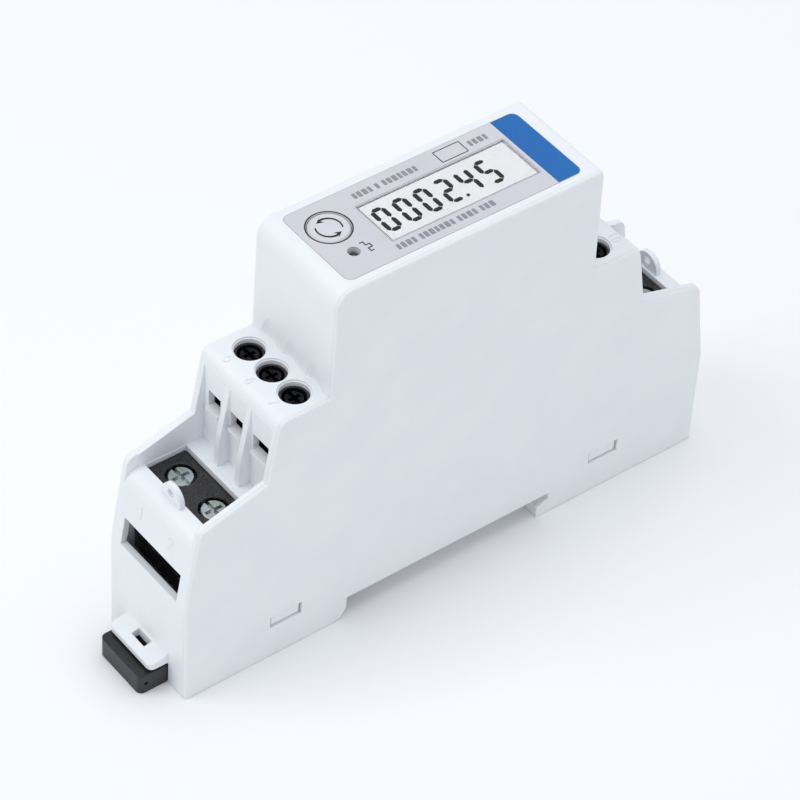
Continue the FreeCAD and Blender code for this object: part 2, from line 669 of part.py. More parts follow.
def make_window():
    """The clear window: its rim lies in the housing's rebate, under the label, and its pane stands proud."""
    gap = "window_gap"
    pane = block("window_pane", ("window_a + " + gap, "window_b - " + gap),
                 ("window_near + " + gap, "window_far - " + gap),
                 ("window_floor + 0.1", "height - label_pocket + label_thick"))
    rim = block("window_rim", ("window_a - window_lip + " + gap, "window_b + window_lip - " + gap),
                ("window_near - window_lip + " + gap, "window_far + window_lip - " + gap),
                ("window_floor + 0.02", "height - label_pocket - 0.02"))
    return join("display_window", [pane, rim])


def make_button():
    """The push button: one turned form, a cap with a shallow dish over a flange and a stem."""
    body = new_body("scroll_button")
    sketch = new_sketch(body, "button_half", "X", "button_x")
    outline = [
        ("button_y", "57.15"), ("button_y + 1.2", "57.15"), ("button_y + 1.2", "59.6"),
        ("button_y + button_flange_r", "59.6"), ("button_y + button_flange_r", "60.4"),
        ("button_y + button_r", "60.4"), ("button_y + button_r", "height - 0.15"),
        ("button_y + button_r - 0.2", "height + 0.05"), ("button_y + dish_r + 0.05", "height + 0.05"),
        ("button_y + dish_r", "height"), ("button_y", "height"),
    ]
    draw_loop(sketch, outline)
    turned = body.newObject("PartDesign::Revolution", "turned_form")
    turned.Profile = sketch
    turned.ReferenceAxis = (sketch, ["Edge11"])
    turned.Angle = 360
    doc.recompute()
    return body


# Terminals ------------------------------------------------------------------------------------
def screw(name, x, y, sizes, reach):
    """A clamp screw with a plus-minus recess, standing on the conductor it clamps."""
    radius, low, high, shank = sizes
    crown = 0.35
    head = drum(name + "_head", radius, (x, y, low), "%s %s - %s" % (high, less(low), crown))
    dome = drum(name + "_crown", radius, (x, y, "%s - %s" % (high, crown)), crown,
                top_radius=radius + " - 0.3")
    thread = drum(name + "_thread", shank, (x, y, reach), "%s %s" % (low, less(reach)))
    slot = block(name + "_slot", (x + " - " + radius, x + " + " + radius), (y + " - 0.28", y + " + 0.28"),
                 (high + " - 0.7", high + " + 0.1"))
    cross = block(name + "_cross", (x + " - 0.28", x + " + 0.28"),
                  ("%s %s + 0.7" % (y, less(radius)), "%s + %s - 0.7" % (y, radius)),
                  (high + " - 0.9", high + " + 0.1"))
    return trim(name, join(name + "_blank", [head, dome, thread]), [slot, cross])


def cage(name, x, y, sizes, bore):
    """A clamp cage: a box frame open along Y, with the screw's hole in its top wall."""
    half, deep, low, floor, roof, high, side = sizes
    frame = block(name + "_frame", (x + " - " + half, x + " + " + half), (y + " - " + deep, y + " + " + deep),
                  (low, high))
    inside = block(name + "_inside", ("%s - %s + %s" % (x, half, side), "%s + %s - %s" % (x, half, side)),
                   ("%s - %s - 0.5" % (y, deep), "%s + %s + 0.5" % (y, deep)), (floor, roof))
    hole = drum(name + "_hole", bore, (x, y, roof + " - 0.2"), "%s %s + 0.4" % (high, less(roof)))
    return trim(name, frame, [inside, hole])


MAIN_SCREW = ("head_r", "head_low", "head_high", "shank_r")
SMALL_SCREW = ("small_head_r", "small_head_low", "small_head_high", "small_shank_r")
MAIN_CAGE = ("cage_half", "cage_deep", "cage_low", "cage_floor", "cage_roof", "cage_high", "0.9")
SMALL_CAGE = ("small_cage_half", "small_cage_deep", "small_cage_low", "small_cage_floor",
              "small_cage_roof", "small_cage_high", "0.6")


def beside(end, distance):
    """A signed place along Y for a distance from the middle."""
    return "- " + distance if end == "near" else distance


def make_main_terminals(end, first_number):
    """One black block with two clamp screws and their cages."""
    y = beside(end, "terminal_y")
    spots = {first_number: "- terminal_x", first_number + 1: "terminal_x"}
    body = block(end + "_block_body", ("- block_half", "block_half"),
                 at_end(end, "block_out_y", "block_in_y"), ("block_low", "block_high"))
    boss = block(end + "_block_boss", ("- opening_half + 0.15", "opening_half - 0.15"),
                 at_end(end, "opening_out_y - 0.15", "opening_in_y + 0.35"),
                 ("block_high - 0.2", "block_top"))
    tools = []
    for mark, x in spots.items():
        tag = "%s_well_%d" % (end, mark)
        room = ("%s - cage_half - cage_gap" % x, "%s + cage_half + cage_gap" % x)
        depth = ("%s - cage_deep - cage_gap" % y, "%s + cage_deep + cage_gap" % y)
        tools.append(block(tag + "_room", room, depth,
                           ("cage_low - 0.9", "head_low - head_ledge")))
        tools.append(drum(tag + "_bore", "head_bore_r", (x, y, "head_low - 0.05"), "3"))
        tools.append(drum(tag + "_neck", "shank_r + 0.15", (x, y, "head_low - head_ledge - 0.1"), "1"))
        tools.append(block(tag + "_entry", (x + " - bar_half - 0.15", x + " + bar_half + 0.15"),
                           at_end(end, "block_out_y + 0.5", "terminal_y + 1"),
                           ("cage_floor - 0.1", "bar_low + 0.2")))
        tools.append(block(tag + "_exit", (x + " - bar_half - 0.1", x + " + bar_half + 0.1"),
                           at_end(end, "terminal_y - 1", "block_in_y - 0.5"),
                           ("bar_low - 0.1", "bar_high + 0.1")))
        screw("terminal_screw_%d" % mark, x, y, MAIN_SCREW, "bar_high + 0.05")
        cage("clamp_cage_%d" % mark, x, y, MAIN_CAGE, "shank_r + 0.05")
    trim(end + "_terminal_block", join(end + "_block_blank", [body, boss]), tools)


def make_signal_terminals(end, first_number):
    """One black block with three chimneys, clamp screws, cages and contact blades."""
    y = beside(end, "access_y")
    solids = [block(end + "_signal_body", ("- signal_half", "signal_half"),
                    at_end(end, "signal_out_y", "signal_in_y"),
                    ("main_board_z + board_thick", "signal_high"))]
    tools = []
    blades = []
    for index, x in enumerate(SIGNAL_X):
        mark = first_number + index
        tag = "%s_signal_%d" % (end, mark)
        solids.append(drum(tag + "_chimney", "chimney_r", (x, y, "signal_high - 0.2"),
                           "chimney_top - signal_high + 0.2"))
        room = ("%s - small_cage_half - 0.1" % x, "%s + small_cage_half + 0.1" % x)
        tools.append(block(tag + "_room", room, ("%s - small_cage_deep - cage_gap" % y,
                                                 "%s + small_cage_deep + cage_gap" % y),
                           ("small_cage_low - 0.3", "small_head_low - small_ledge")))
        tools.append(drum(tag + "_bore", "small_bore_r", (x, y, "small_head_low - 0.05"), "4"))
        tools.append(drum(tag + "_neck", "small_shank_r + 0.15",
                          (x, y, "small_head_low - small_ledge - 0.1"), "1.4"))
        tools.append(block(tag + "_entry", (x + " - 1.25", x + " + 1.25"),
                           at_end(end, "signal_out_y + 0.5", "access_y + 1"),
                           ("small_cage_floor - 0.1", "blade_low - 0.1")))
        tools.append(block(tag + "_exit", (x + " - blade_half - 0.1", x + " + blade_half + 0.1"),
                           at_end(end, "access_y - 1", "signal_in_y - 0.5"),
                           ("blade_low - 0.1", "blade_high + 0.1")))
        blade = block(tag + "_blade", (x + " - blade_half", x + " + blade_half"),
                      at_end(end, "access_y + 1.5", "signal_in_y - 0.7"), ("blade_low", "blade_high"))
        leg = block(tag + "_leg", (x + " - blade_half", x + " + blade_half"),
                    at_end(end, "signal_in_y - 0.1", "signal_in_y - 0.7"), ("leg_end", "blade_high"))
        blades.append(join(tag + "_contact", [blade, leg]))
        screw("signal_screw_%d" % mark, x, y, SMALL_SCREW, "blade_high + 0.05")
        cage("signal_cage_%d" % mark, x, y, SMALL_CAGE, "small_shank_r + 0.05")
    trim(end + "_signal_block", join(end + "_signal_blank", solids), tools)
    join(end + "_signal_contacts", blades)


# Inside ---------------------------------------------------------------------------------------
def make_current_path():
    """The line conductor through the sensor, the neutral bar over it, and their leads."""
    across = ("- terminal_x - bar_half", "sensor_x + bar_half")
    straps = []
    for end in ENDS:
        straps.append(block(end + "_strap", ("- terminal_x - bar_half", "- terminal_x + bar_half"),
                            at_end(end, "terminal_y + 2.2", "jog_y - 2.5"), ("bar_low", "bar_high")))
        turn = at_end(end, "jog_y", "jog_y - jog_thick")
        straps.append(block(end + "_drop", ("- terminal_x - bar_half", "- terminal_x + bar_half"), turn,
                            ("sensor_z - 0.5", "bar_high")))
        straps.append(block(end + "_jog", across, turn, ("sensor_z - 0.5", "sensor_z + 0.5")))
    straps.append(block("line_middle", ("sensor_x - bar_half", "sensor_x + bar_half"), ("- jog_y", "jog_y"),
                        ("sensor_z - 0.5", "sensor_z + 0.5")))
    join("line_conductor", straps)
    block("neutral_bar", ("terminal_x - bar_half", "terminal_x + bar_half"),
          ("- terminal_y - 2.2", "terminal_y + 2.2"), ("bar_low", "bar_high"))
    ring = drum("sensor_ring", "sensor_r", ("sensor_x", "- sensor_half", "sensor_z"),
                "sensor_half + sensor_half", "Y")
    hole = drum("sensor_hole", "sensor_hole_r", ("sensor_x", "- sensor_half - 1", "sensor_z"),
                "sensor_half + sensor_half + 2", "Y")
    trim("current_transformer", ring, [hole])
    top = "sensor_z + sensor_r"
    join("transformer_leads", [
        drum("transformer_lead_%d" % i, "0.35", (x, "0", top), "pin_end - sensor_z - sensor_r")
        for i, x in enumerate(TRANSFORMER_LEADS)])
    join("sense_leads", [
        drum("sense_lead_%d" % i, "0.5", (x, "- jog_y + 1.7", "bar_high"), "pin_end - bar_high")
        for i, x in enumerate(("- terminal_x", "terminal_x"))])


TRANSFORMER_LEADS = ("sensor_x - 0.8", "sensor_x + 0.6")
HEADER_X = "5.0"
HEADER_Y = [str(11 + 2 * i) for i in range(5)]


def make_boards():
    """Both circuit boards, with the holes that leads and pins pass through."""
    board_top = "main_board_z + board_thick"
    plate = block("main_board_plate", ("- 7.5", "7.4"), ("- 29.2", "29.2"), ("main_board_z", board_top))
    below = "main_board_z - 0.5"
    deep = "board_thick + 1"
    holes = [drum("lead_hole_%d" % i, "0.45", (x, "0", below), deep) for i, x in enumerate(TRANSFORMER_LEADS)]
    holes += [drum("sense_hole_%d" % i, "0.6", (x, "- jog_y + 1.7", below), deep)
              for i, x in enumerate(("- terminal_x", "terminal_x"))]
    holes += [drum("main_pin_hole_%d" % i, "0.38", (HEADER_X, y, below), deep)
              for i, y in enumerate(HEADER_Y)]
    for end in ENDS:
        span = at_end(end, "signal_in_y", "signal_in_y - 0.8")
        holes += [block("%s_leg_hole_%d" % (end, i), (x + " - blade_half - 0.1", x + " + blade_half + 0.1"),
                        span, (below, board_top + " + 0.5")) for i, x in enumerate(SIGNAL_X)]
    trim("main_board", plate, holes)

    upper = block("display_board_plate", ("- 7.4", "7.3"), ("- 20", "20"),
                  ("display_board_z", "display_board_top"))
    pin_holes = [drum("display_pin_hole_%d" % i, "0.38", (HEADER_X, y, "display_board_z - 0.5"), "2.2")
                 for i, y in enumerate(HEADER_Y)]
    trim("display_board", upper, pin_holes)
    join("header_pins", [drum("header_pin_%d" % i, "0.3", (HEADER_X, y, "leg_end"),
                              "display_board_top - 0.2 - leg_end")
                         for i, y in enumerate(HEADER_Y)])
    sleeves = [block("lower_spacer", ("3.9", "6.1"), ("10", "20"), (board_top, board_top + " + 2.4")),
               block("upper_spacer", ("3.9", "6.1"), ("10", "20"),
                     ("display_board_z - 2.4", "display_board_z"))]
    bores = [drum("spacer_hole_%d" % i, "0.38", (HEADER_X, y, board_top + " - 0.5"), "24")
             for i, y in enumerate(HEADER_Y)]
    trim("header_spacers", join("spacer_blanks", sleeves), bores)


def make_display():
    """The segment display with its frame, light panel and elastomer strips."""
    base = "display_board_top"
    outer = block("lcd_frame_outer", ("- 6.6", "6.6"), ("- 11.4", "16.8"), (base, "59.8"))
    inner = block("lcd_frame_inner", ("- 6", "6"), ("- 10.8", "16.2"), (base + " - 0.5", "60.5"))
    trim("lcd_frame", outer, [inner])
    join("elastomer_strips", [block("strip_%d" % i, x, ("- 10.6", "16"), (base, "57.55"))
                              for i, x in enumerate((("- 5.9", "- 4.9"), ("4.9", "5.9")))])
    block("lcd_backlight", ("- 4.7", "4.7"), ("- 10.6", "16"), (base, "57.5"))
    glass = block("glass_back", ("- 5.9", "5.9"), ("- 10.7", "16.1"), ("57.6", "glass_step"))
    front = block("glass_front", ("window_a + 0.2", "window_b - 0.2"),
                  ("window_near + 0.25", "window_far - 0.25"),
                  ("glass_step - 0.2", "window_floor"))
    join("lcd_panel", [glass, front])


def make_switch_and_lamp():
    """The switch under the button and the pulse lamp beside it."""
    base = "display_board_top"
    case = block("switch_case", ("button_x - 2.2", "button_x + 2.2"), ("button_y - 2.2", "button_y + 2.2"),
                 (base, "56.8"))
    bore = drum("switch_bore", "1.05", ("button_x", "button_y", "56"), "2")
    trim("tact_switch", case, [bore])
    drum("tact_plunger", "1.0", ("button_x", "button_y", "56.4"), "0.75")
    lamp = [drum("lamp_foot", "1.3", ("lamp_x", "lamp_y", base), "0.8"),
            drum("lamp_body", "lamp_r", ("lamp_x", "lamp_y", base), "5.6"),
            ball("lamp_dome", "lamp_r", ("lamp_x", "lamp_y", base + " + 5.6"))]
    join("pulse_led", lamp)


def make_components():
    """What the main board carries."""
    top = "main_board_z + board_thick"
    block("film_capacitor", ("- 7", "- 1"), ("- 14", "- 1"), (top, top + " + 12"))
    drum("electrolytic_capacitor", "3.9", ("3.1", "5", top), "12.4")
    drum("varistor", "4.4", ("1.8", "- 8", top + " + 4.4"), "3.4", "X")
    block("bridge_rectifier", ("1.5", "6.5"), ("- 20", "- 15"), (top, top + " + 2.6"))
    drum("fusible_resistor", "1.4", ("- 4", "- 20", top + " + 1.4"), "5", "Y")
    block("metering_chip", ("- 7.2", "- 1.2"), ("0.5", "7.5"), (top, top + " + 1.4"))
    block("crystal", ("- 6.4", "- 1.8"), ("8.8", "12.2"), (top, top + " + 3"))
    block("bus_transceiver", ("- 4", "0"), ("4", "9"), ("main_board_z - 1.7", "main_board_z"))
    join("optocouplers", [block("optocoupler_%d" % i, (x, x + " + 4.4"), ("13.6", "19.9"),
                                (top, top + " + 3.4"))
                          for i, x in enumerate(("- 7", "- 2"))])


make_housing()
make_cover()
make_clip()
make_label()
make_window()
make_button()
make_main_terminals("near", 1)
make_main_terminals("far", 3)
make_signal_terminals("near", 5)
make_signal_terminals("far", 8)
make_current_path()
make_boards()
make_display()
make_switch_and_lamp()
make_components()
doc.recompute()

NODES = (
    "main_housing side_cover din_clip front_label display_window scroll_button tact_plunger tact_switch "
    "pulse_led lcd_panel lcd_backlight lcd_frame elastomer_strips display_board main_board header_pins "
    "header_spacers near_terminal_block far_terminal_block near_signal_block far_signal_block "
    "near_signal_contacts far_signal_contacts line_conductor neutral_bar current_transformer "
    "transformer_leads sense_leads film_capacitor electrolytic_capacitor varistor bridge_rectifier "
    "fusible_resistor metering_chip crystal bus_transceiver optocouplers"
).split()
NODES += ["terminal_screw_%d" % i for i in range(1, 5)] + ["clamp_cage_%d" % i for i in range(1, 5)]
NODES += ["signal_screw_%d" % i for i in range(5, 11)] + ["signal_cage_%d" % i for i in range(5, 11)]

for item in doc.Objects:
    if "Invalid" in item.State or "Error" in item.State:
        raise RuntimeError("%s failed: %s" % (item.Name, item.State))
os.makedirs("parts", exist_ok=True)
for name in NODES:
    item = doc.getObject(name)
    item.Label = name
    shape = item.Shape
    if shape.isNull() or not shape.isValid() or not shape.Solids:
        raise RuntimeError("%s has no valid solid" % name)
    shape.exportStep("parts/%s.step" % name)
    box = shape.BoundBox
    print("%-24s %2d solids  volume %9.2f  z %.2f to %.2f" % (
        name, len(shape.Solids), shape.Volume, box.ZMin, box.ZMax))
print(len(NODES), "nodes, module width", 2 * number("half_width"), "length", 2 * number("half_length"),
      "turns to close a main clamp",
      math.floor((number("head_low") - number("head_ledge") - number("cage_high")) / 0.5))
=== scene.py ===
"""Looks of a one-module electricity meter for a 35 mm rail.

Distances in the dataclasses are millimetres in the row frame: X runs across the module towards
its flat cover, Y along it away from the sliding clip, and Z away from the rail.
"""
import logging
import math
from dataclasses import dataclass, field
from enum import Enum
from typing import Any, Iterable, Optional, Sequence

import bpy
import numpy as np
from mathutils import Matrix, Vector


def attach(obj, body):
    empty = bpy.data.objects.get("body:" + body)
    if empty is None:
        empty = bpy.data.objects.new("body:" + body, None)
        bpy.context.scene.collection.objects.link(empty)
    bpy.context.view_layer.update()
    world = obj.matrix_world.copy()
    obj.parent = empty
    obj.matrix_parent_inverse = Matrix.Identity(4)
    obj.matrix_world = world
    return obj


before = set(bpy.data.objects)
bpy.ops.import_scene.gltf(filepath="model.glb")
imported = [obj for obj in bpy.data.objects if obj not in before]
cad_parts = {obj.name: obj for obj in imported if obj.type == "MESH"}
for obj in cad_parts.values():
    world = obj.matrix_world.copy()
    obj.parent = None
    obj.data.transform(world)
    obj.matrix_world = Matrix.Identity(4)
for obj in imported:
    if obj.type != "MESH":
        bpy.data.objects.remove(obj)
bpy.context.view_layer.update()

MM = 0.001
BODY = "meter_body"
FEET = -3.8
FRONT = 62.0 + FEET
NUMERAL_WIDE = 0.6
Surface = tuple[np.ndarray, list[tuple[int, ...]]]
log = logging.getLogger("rail_meter")


# Colour and node helpers ----------------------------------------------------------------------
def linear(code: str) -> tuple[float, float, float, float]:
    """Turns an sRGB hex colour into linear light.

    Args:
        code: six hex digits.

    Returns:
        Red, green, blue and an alpha of 1.
    """
    shares = np.array([int(code[i:i + 2], 16) for i in (0, 2, 4)]) / 255
    light = np.where(shares <= 0.04045, shares / 12.92, ((shares + 0.055) / 1.055) ** 2.4)
    return (*(float(v) for v in light), 1.0)


def add_node(tree: bpy.types.NodeTree, kind: str, settings: Optional[dict[str, Any]] = None,
             inputs: Optional[dict[Any, Any]] = None) -> bpy.types.Node:
    """Adds a node with its settings and its inputs.

    Args:
        tree: the node tree.
        kind: the node's type.
        settings: properties of the node.
        inputs: socket name or number to a value, or to an output socket to link from.

    Returns:
        The new node.
    """
    node = tree.nodes.new(kind)
    for name, value in (settings or {}).items():
        setattr(node, name, value)
    for name, value in (inputs or {}).items():
        if isinstance(value, bpy.types.NodeSocket):
            tree.links.new(value, node.inputs[name])
        else:
            node.inputs[name].default_value = value
    return node


def per_metre(size_mm: float) -> float:
    """The noise scale whose features are about this many millimetres across."""
    return 1.0 / (size_mm * MM)


def tint_between(tree: bpy.types.NodeTree, factor: bpy.types.NodeSocket, low: str, high: str,
                 span: tuple[float, float]) -> bpy.types.NodeSocket:
    """A colour that goes from low to high as the factor crosses the span.

    Args:
        tree: the node tree.
        factor: the output that the colour follows.
        low: hex colour below the span.
        high: hex colour above it.
        span: the factor's values at the two ends.

    Returns:
        The colour's output.
    """
    ramp = add_node(tree, "ShaderNodeValToRGB", inputs={0: factor})
    for element, place, code in zip(ramp.color_ramp.elements, span, (low, high)):
        element.position = place
        element.color = linear(code)
    return ramp.outputs["Color"]


class Finish:
    """A finish that is built as a material the first time it is asked for."""

    name: str

    def material(self) -> bpy.types.Material:
        """Finds the finish's material, or builds it.

        Returns:
            The material.
        """
        found = bpy.data.materials.get("finish_" + self.name)
        if found:
            return found
        made = bpy.data.materials.new("finish_" + self.name)
        made.use_nodes = True
        made.node_tree.nodes.clear()
        self.build(made.node_tree)
        return made

    def build(self, tree: bpy.types.NodeTree) -> None:
        """Fills the node tree.

        Args:
            tree: the material's empty node tree.
        """
        raise NotImplementedError


def rounded_normal(tree: bpy.types.NodeTree, radius_mm: float) -> bpy.types.NodeSocket:
    """The normal of a surface whose moulded edges are broken by a small radius."""
    bevel = add_node(tree, "ShaderNodeBevel", {"samples": 6}, {"Radius": radius_mm * MM})
    return bevel.outputs["Normal"]


@dataclass(frozen=True)
class MouldedPlastic(Finish):
    """Injection-moulded thermoplastic with an eroded tool texture.

    The grain is the tool's spark erosion, the cloud is flow and handling, and edges have the
    small radius that every moulding has.
    """

    name: str
    shade: str
    cloud_shade: str
    roughness: float = 0.42
    grain_mm: float = 0.22
    grain_depth_mm: float = 0.006
    cloud_mm: float = 9.0
    edge_mm: float = 0.12
    specular: float = 0.5
    scatter: float = 0.0
    coat: float = 0.0

    def build(self, tree: bpy.types.NodeTree) -> None:
        """Two noises: a fine one for grain and gloss, a broad one for the cloud in the colour.

        Args:
            tree: the material's empty node tree.
        """
        place = add_node(tree, "ShaderNodeTexCoord").outputs["Object"]
        grain = add_node(tree, "ShaderNodeTexNoise", inputs={
            "Vector": place, "Scale": per_metre(self.grain_mm), "Detail": 3.0, "Roughness": 0.6})
        cloud = add_node(tree, "ShaderNodeTexNoise", inputs={
            "Vector": place, "Scale": per_metre(self.cloud_mm), "Detail": 4.0, "Roughness": 0.55})
        colour = tint_between(tree, cloud.outputs[0], self.cloud_shade, self.shade, (0.3, 0.62))
        gloss = add_node(tree, "ShaderNodeMapRange", inputs={
            "Value": grain.outputs[0], "To Min": self.roughness - 0.05,
            "To Max": self.roughness + 0.07})
        bump = add_node(tree, "ShaderNodeBump", inputs={
            "Height": grain.outputs[0], "Strength": 0.6, "Distance": self.grain_depth_mm * MM,
            "Normal": rounded_normal(tree, self.edge_mm)})
        shader = add_node(tree, "ShaderNodeBsdfPrincipled", inputs={
            "Base Color": colour, "Roughness": gloss.outputs[0], "Normal": bump.outputs["Normal"],
            "IOR": 1.53, "Specular IOR Level": self.specular, "Subsurface Weight": self.scatter,
            "Subsurface Radius": (0.6 * MM, 0.6 * MM, 0.7 * MM), "Subsurface Scale": 1.0,
            "Coat Weight": self.coat, "Coat Roughness": 0.12})
        add_node(tree, "ShaderNodeOutputMaterial", inputs={"Surface": shader.outputs[0]})


@dataclass(frozen=True)
class PlatedMetal(Finish):
    """Steel or copper with a thin bright plating, cold formed and barrel tumbled.

    Tumbling leaves short random scratches, and the passivation drifts in hue.
    """

    name: str
    shade: str
    drift_shade: str
    roughness: float = 0.3
    scratch_mm: float = 0.12
    scratch_depth_mm: float = 0.004
    drift_mm: float = 1.6
    edge_mm: float = 0.06

    def build(self, tree: bpy.types.NodeTree) -> None:
        """A stretched noise for the scratches over a broad noise for the drift.

        Args:
            tree: the material's empty node tree.
        """
        place = add_node(tree, "ShaderNodeTexCoord").outputs["Object"]
        stretched = add_node(tree, "ShaderNodeMapping", inputs={
            "Vector": place, "Rotation": (0.3, 0.2, 0.7), "Scale": (1.0, 0.18, 1.0)})
        scratches = add_node(tree, "ShaderNodeTexNoise", inputs={
            "Vector": stretched.outputs[0], "Scale": per_metre(self.scratch_mm), "Detail": 4.0})
        drift = add_node(tree, "ShaderNodeTexNoise", inputs={
            "Vector": place, "Scale": per_metre(self.drift_mm), "Detail": 3.0})
        colour = tint_between(tree, drift.outputs[0], self.drift_shade, self.shade, (0.35, 0.6))
        gloss = add_node(tree, "ShaderNodeMapRange", inputs={
            "Value": scratches.outputs[0], "To Min": self.roughness - 0.1,
            "To Max": self.roughness + 0.14})
        bump = add_node(tree, "ShaderNodeBump", inputs={
            "Height": scratches.outputs[0], "Strength": 0.5, "Distance": self.scratch_depth_mm * MM,
            "Normal": rounded_normal(tree, self.edge_mm)})
        shader = add_node(tree, "ShaderNodeBsdfPrincipled", inputs={
            "Base Color": colour, "Metallic": 1.0, "Roughness": gloss.outputs[0],
            "Normal": bump.outputs["Normal"]})
        add_node(tree, "ShaderNodeOutputMaterial", inputs={"Surface": shader.outputs[0]})


@dataclass(frozen=True)
class ClearPlastic(Finish):
    """Polished clear polycarbonate or epoxy: it lets light through and shows a soft reflection."""

    name: str
    tint: str
    roughness: float = 0.04
    ior: float = 1.5
    ripple_mm: float = 4.0

    def build(self, tree: bpy.types.NodeTree) -> None:
        """Transmission for sight, and plain transparency for the light that falls through it.

        Args:
            tree: the material's empty node tree.
        """
        place = add_node(tree, "ShaderNodeTexCoord").outputs["Object"]
        ripple = add_node(tree, "ShaderNodeTexNoise", inputs={
            "Vector": place, "Scale": per_metre(self.ripple_mm), "Detail": 2.0})
        gloss = add_node(tree, "ShaderNodeMapRange", inputs={
            "Value": ripple.outputs[0], "To Min": self.roughness * 0.6,
            "To Max": self.roughness * 1.6})
        shader = add_node(tree, "ShaderNodeBsdfPrincipled", inputs={
            "Base Color": linear(self.tint), "Transmission Weight": 1.0,
            "Roughness": gloss.outputs[0], "IOR": self.ior})
        through = add_node(tree, "ShaderNodeBsdfTransparent", inputs={"Color": linear(self.tint)})
        path = add_node(tree, "ShaderNodeLightPath")
        both = add_node(tree, "ShaderNodeMixShader", inputs={
            0: path.outputs["Is Shadow Ray"], 1: shader.outputs[0], 2: through.outputs[0]})
        add_node(tree, "ShaderNodeOutputMaterial", inputs={"Surface": both.outputs[0]})


@dataclass(frozen=True)
class CircuitBoard(Finish):
    """Glass-epoxy board under green solder resist, with the copper runs showing lighter.

    The runs lie on a grid of 1.27 mm, half the pitch of through-hole parts.
    """

    name: str
    shade: str
    run_shade: str
    pitch_mm: float = 1.27

    def build(self, tree: bpy.types.NodeTree) -> None:
        """Square cells from a Chebychev cell pattern: the cells' borders are gaps between runs.

        Args:
            tree: the material's empty node tree.
        """
        place = add_node(tree, "ShaderNodeTexCoord").outputs["Object"]
        cells = add_node(
            tree, "ShaderNodeTexVoronoi", {"distance": "CHEBYCHEV", "feature": "F1"},
            {"Vector": place, "Scale": per_metre(self.pitch_mm * 2), "Randomness": 0.35})
        weave = add_node(tree, "ShaderNodeTexNoise", inputs={
            "Vector": place, "Scale": per_metre(0.4), "Detail": 2.0})
        colour = tint_between(
            tree, cells.outputs["Distance"], self.run_shade, self.shade, (0.3, 0.34))
        bump = add_node(tree, "ShaderNodeBump", inputs={
            "Height": weave.outputs[0], "Strength": 0.4, "Distance": 0.01 * MM})
        shader = add_node(tree, "ShaderNodeBsdfPrincipled", inputs={
            "Base Color": colour, "Roughness": 0.32, "Coat Weight": 0.4, "Coat Roughness": 0.1,
            "Normal": bump.outputs["Normal"]})
        add_node(tree, "ShaderNodeOutputMaterial", inputs={"Surface": shader.outputs[0]})


@dataclass(frozen=True)
class PrintedInk(Finish):
    """Screen-printed ink: opaque, satin, a little uneven where the mesh let it through."""

    name: str
    shade: str
    thin_shade: str
    roughness: float = 0.38

    def build(self, tree: bpy.types.NodeTree) -> None:
        """Noise at the printing screen's thread spacing.

        Args:
            tree: the material's empty node tree.
        """
        place = add_node(tree, "ShaderNodeTexCoord").outputs["Object"]
        screen = add_node(tree, "ShaderNodeTexNoise", inputs={
            "Vector": place, "Scale": per_metre(0.15), "Detail": 2.0})
        colour = tint_between(tree, screen.outputs[0], self.thin_shade, self.shade, (0.35, 0.5))
        shader = add_node(tree, "ShaderNodeBsdfPrincipled", inputs={
            "Base Color": colour, "Roughness": self.roughness, "IOR": 1.48})
        add_node(tree, "ShaderNodeOutputMaterial", inputs={"Surface": shader.outputs[0]})


# ABS, moulded in a spark-eroded tool: an even, matt, faintly blue white
ABS = MouldedPlastic("abs_moulded_white", "F1F4F7", "EEF1F5", roughness=0.44, scatter=0.08,
                     edge_mm=0.12)
# ABS again, with the softer tool texture of a part that fingers touch
BUTTON_ABS = MouldedPlastic("abs_moulded_button", "DCDCE2", "D5D6DC", roughness=0.36, grain_mm=0.16)
# PA66, glass filled: black, a little glossy on the flats
CLIP_NYLON = MouldedPlastic("pa66_moulded_black", "1E1F22", "17181B", roughness=0.4, grain_mm=0.3,
                            grain_depth_mm=0.012, edge_mm=0.16)
# PA66, flame retardant: brown-black terminal moulding with a shine inside the chimneys
BLOCK_NYLON = MouldedPlastic("pa66_moulded_terminal", "1C1719", "141113", roughness=0.26, coat=0.3)
# polycarbonate film, printed on the back: silver grey with a fine velvet surface
FILM = MouldedPlastic("polycarbonate_film_silver", "D6D5DB", "CFCFD6", roughness=0.4, grain_mm=0.1,
                      grain_depth_mm=0.002, edge_mm=0.04, cloud_mm=14.0)
# switch and frame plastics, hidden inside: plain black moulding
INNER_PLASTIC = MouldedPlastic("pbt_moulded_black", "1C1C1E", "141416", roughness=0.45)
# transfer-moulded epoxy of chips: matt with a sandy grain
CHIP_EPOXY = MouldedPlastic("epoxy_transfer_moulded", "232325", "19191B", roughness=0.6,
                            grain_mm=0.12)
# potted sensor case: dark blue with a cast surface
SENSOR_CASE = MouldedPlastic("pbt_potted_sensor", "24345E", "1B294D", roughness=0.38)
# boxed film capacitor: yellow, smooth
CAPACITOR_BOX = MouldedPlastic("pbt_boxed_capacitor", "DDB13A", "D2A42E", roughness=0.3)
# dipped disc varistor: blue epoxy with a wet gloss
DIPPED_EPOXY = MouldedPlastic("epoxy_dipped_blue", "1F4F9E", "18438A", roughness=0.2,
                              grain_mm=0.8, coat=0.6)
# shrunk PET sleeve of an electrolytic capacitor
SLEEVE = MouldedPlastic("pet_shrunk_sleeve", "20263F", "191E33", roughness=0.24, grain_mm=0.6,
                        coat=0.5)
# flameproof lacquer on a wound resistor: chalky grey-green
LACQUER = MouldedPlastic("lacquer_flameproof", "7F8E7C", "72806F", roughness=0.62, grain_mm=0.2)
# layered conductive silicone strip: dark and rubbery
ZEBRA = MouldedPlastic("silicone_layered", "3A3A3C", "2A2A2C", roughness=0.7, grain_mm=0.18)
# frosted acrylic light guide behind the display
LIGHT_GUIDE = MouldedPlastic("pmma_frosted", "EEF0EA", "E6E9E2", roughness=0.5, scatter=0.2)
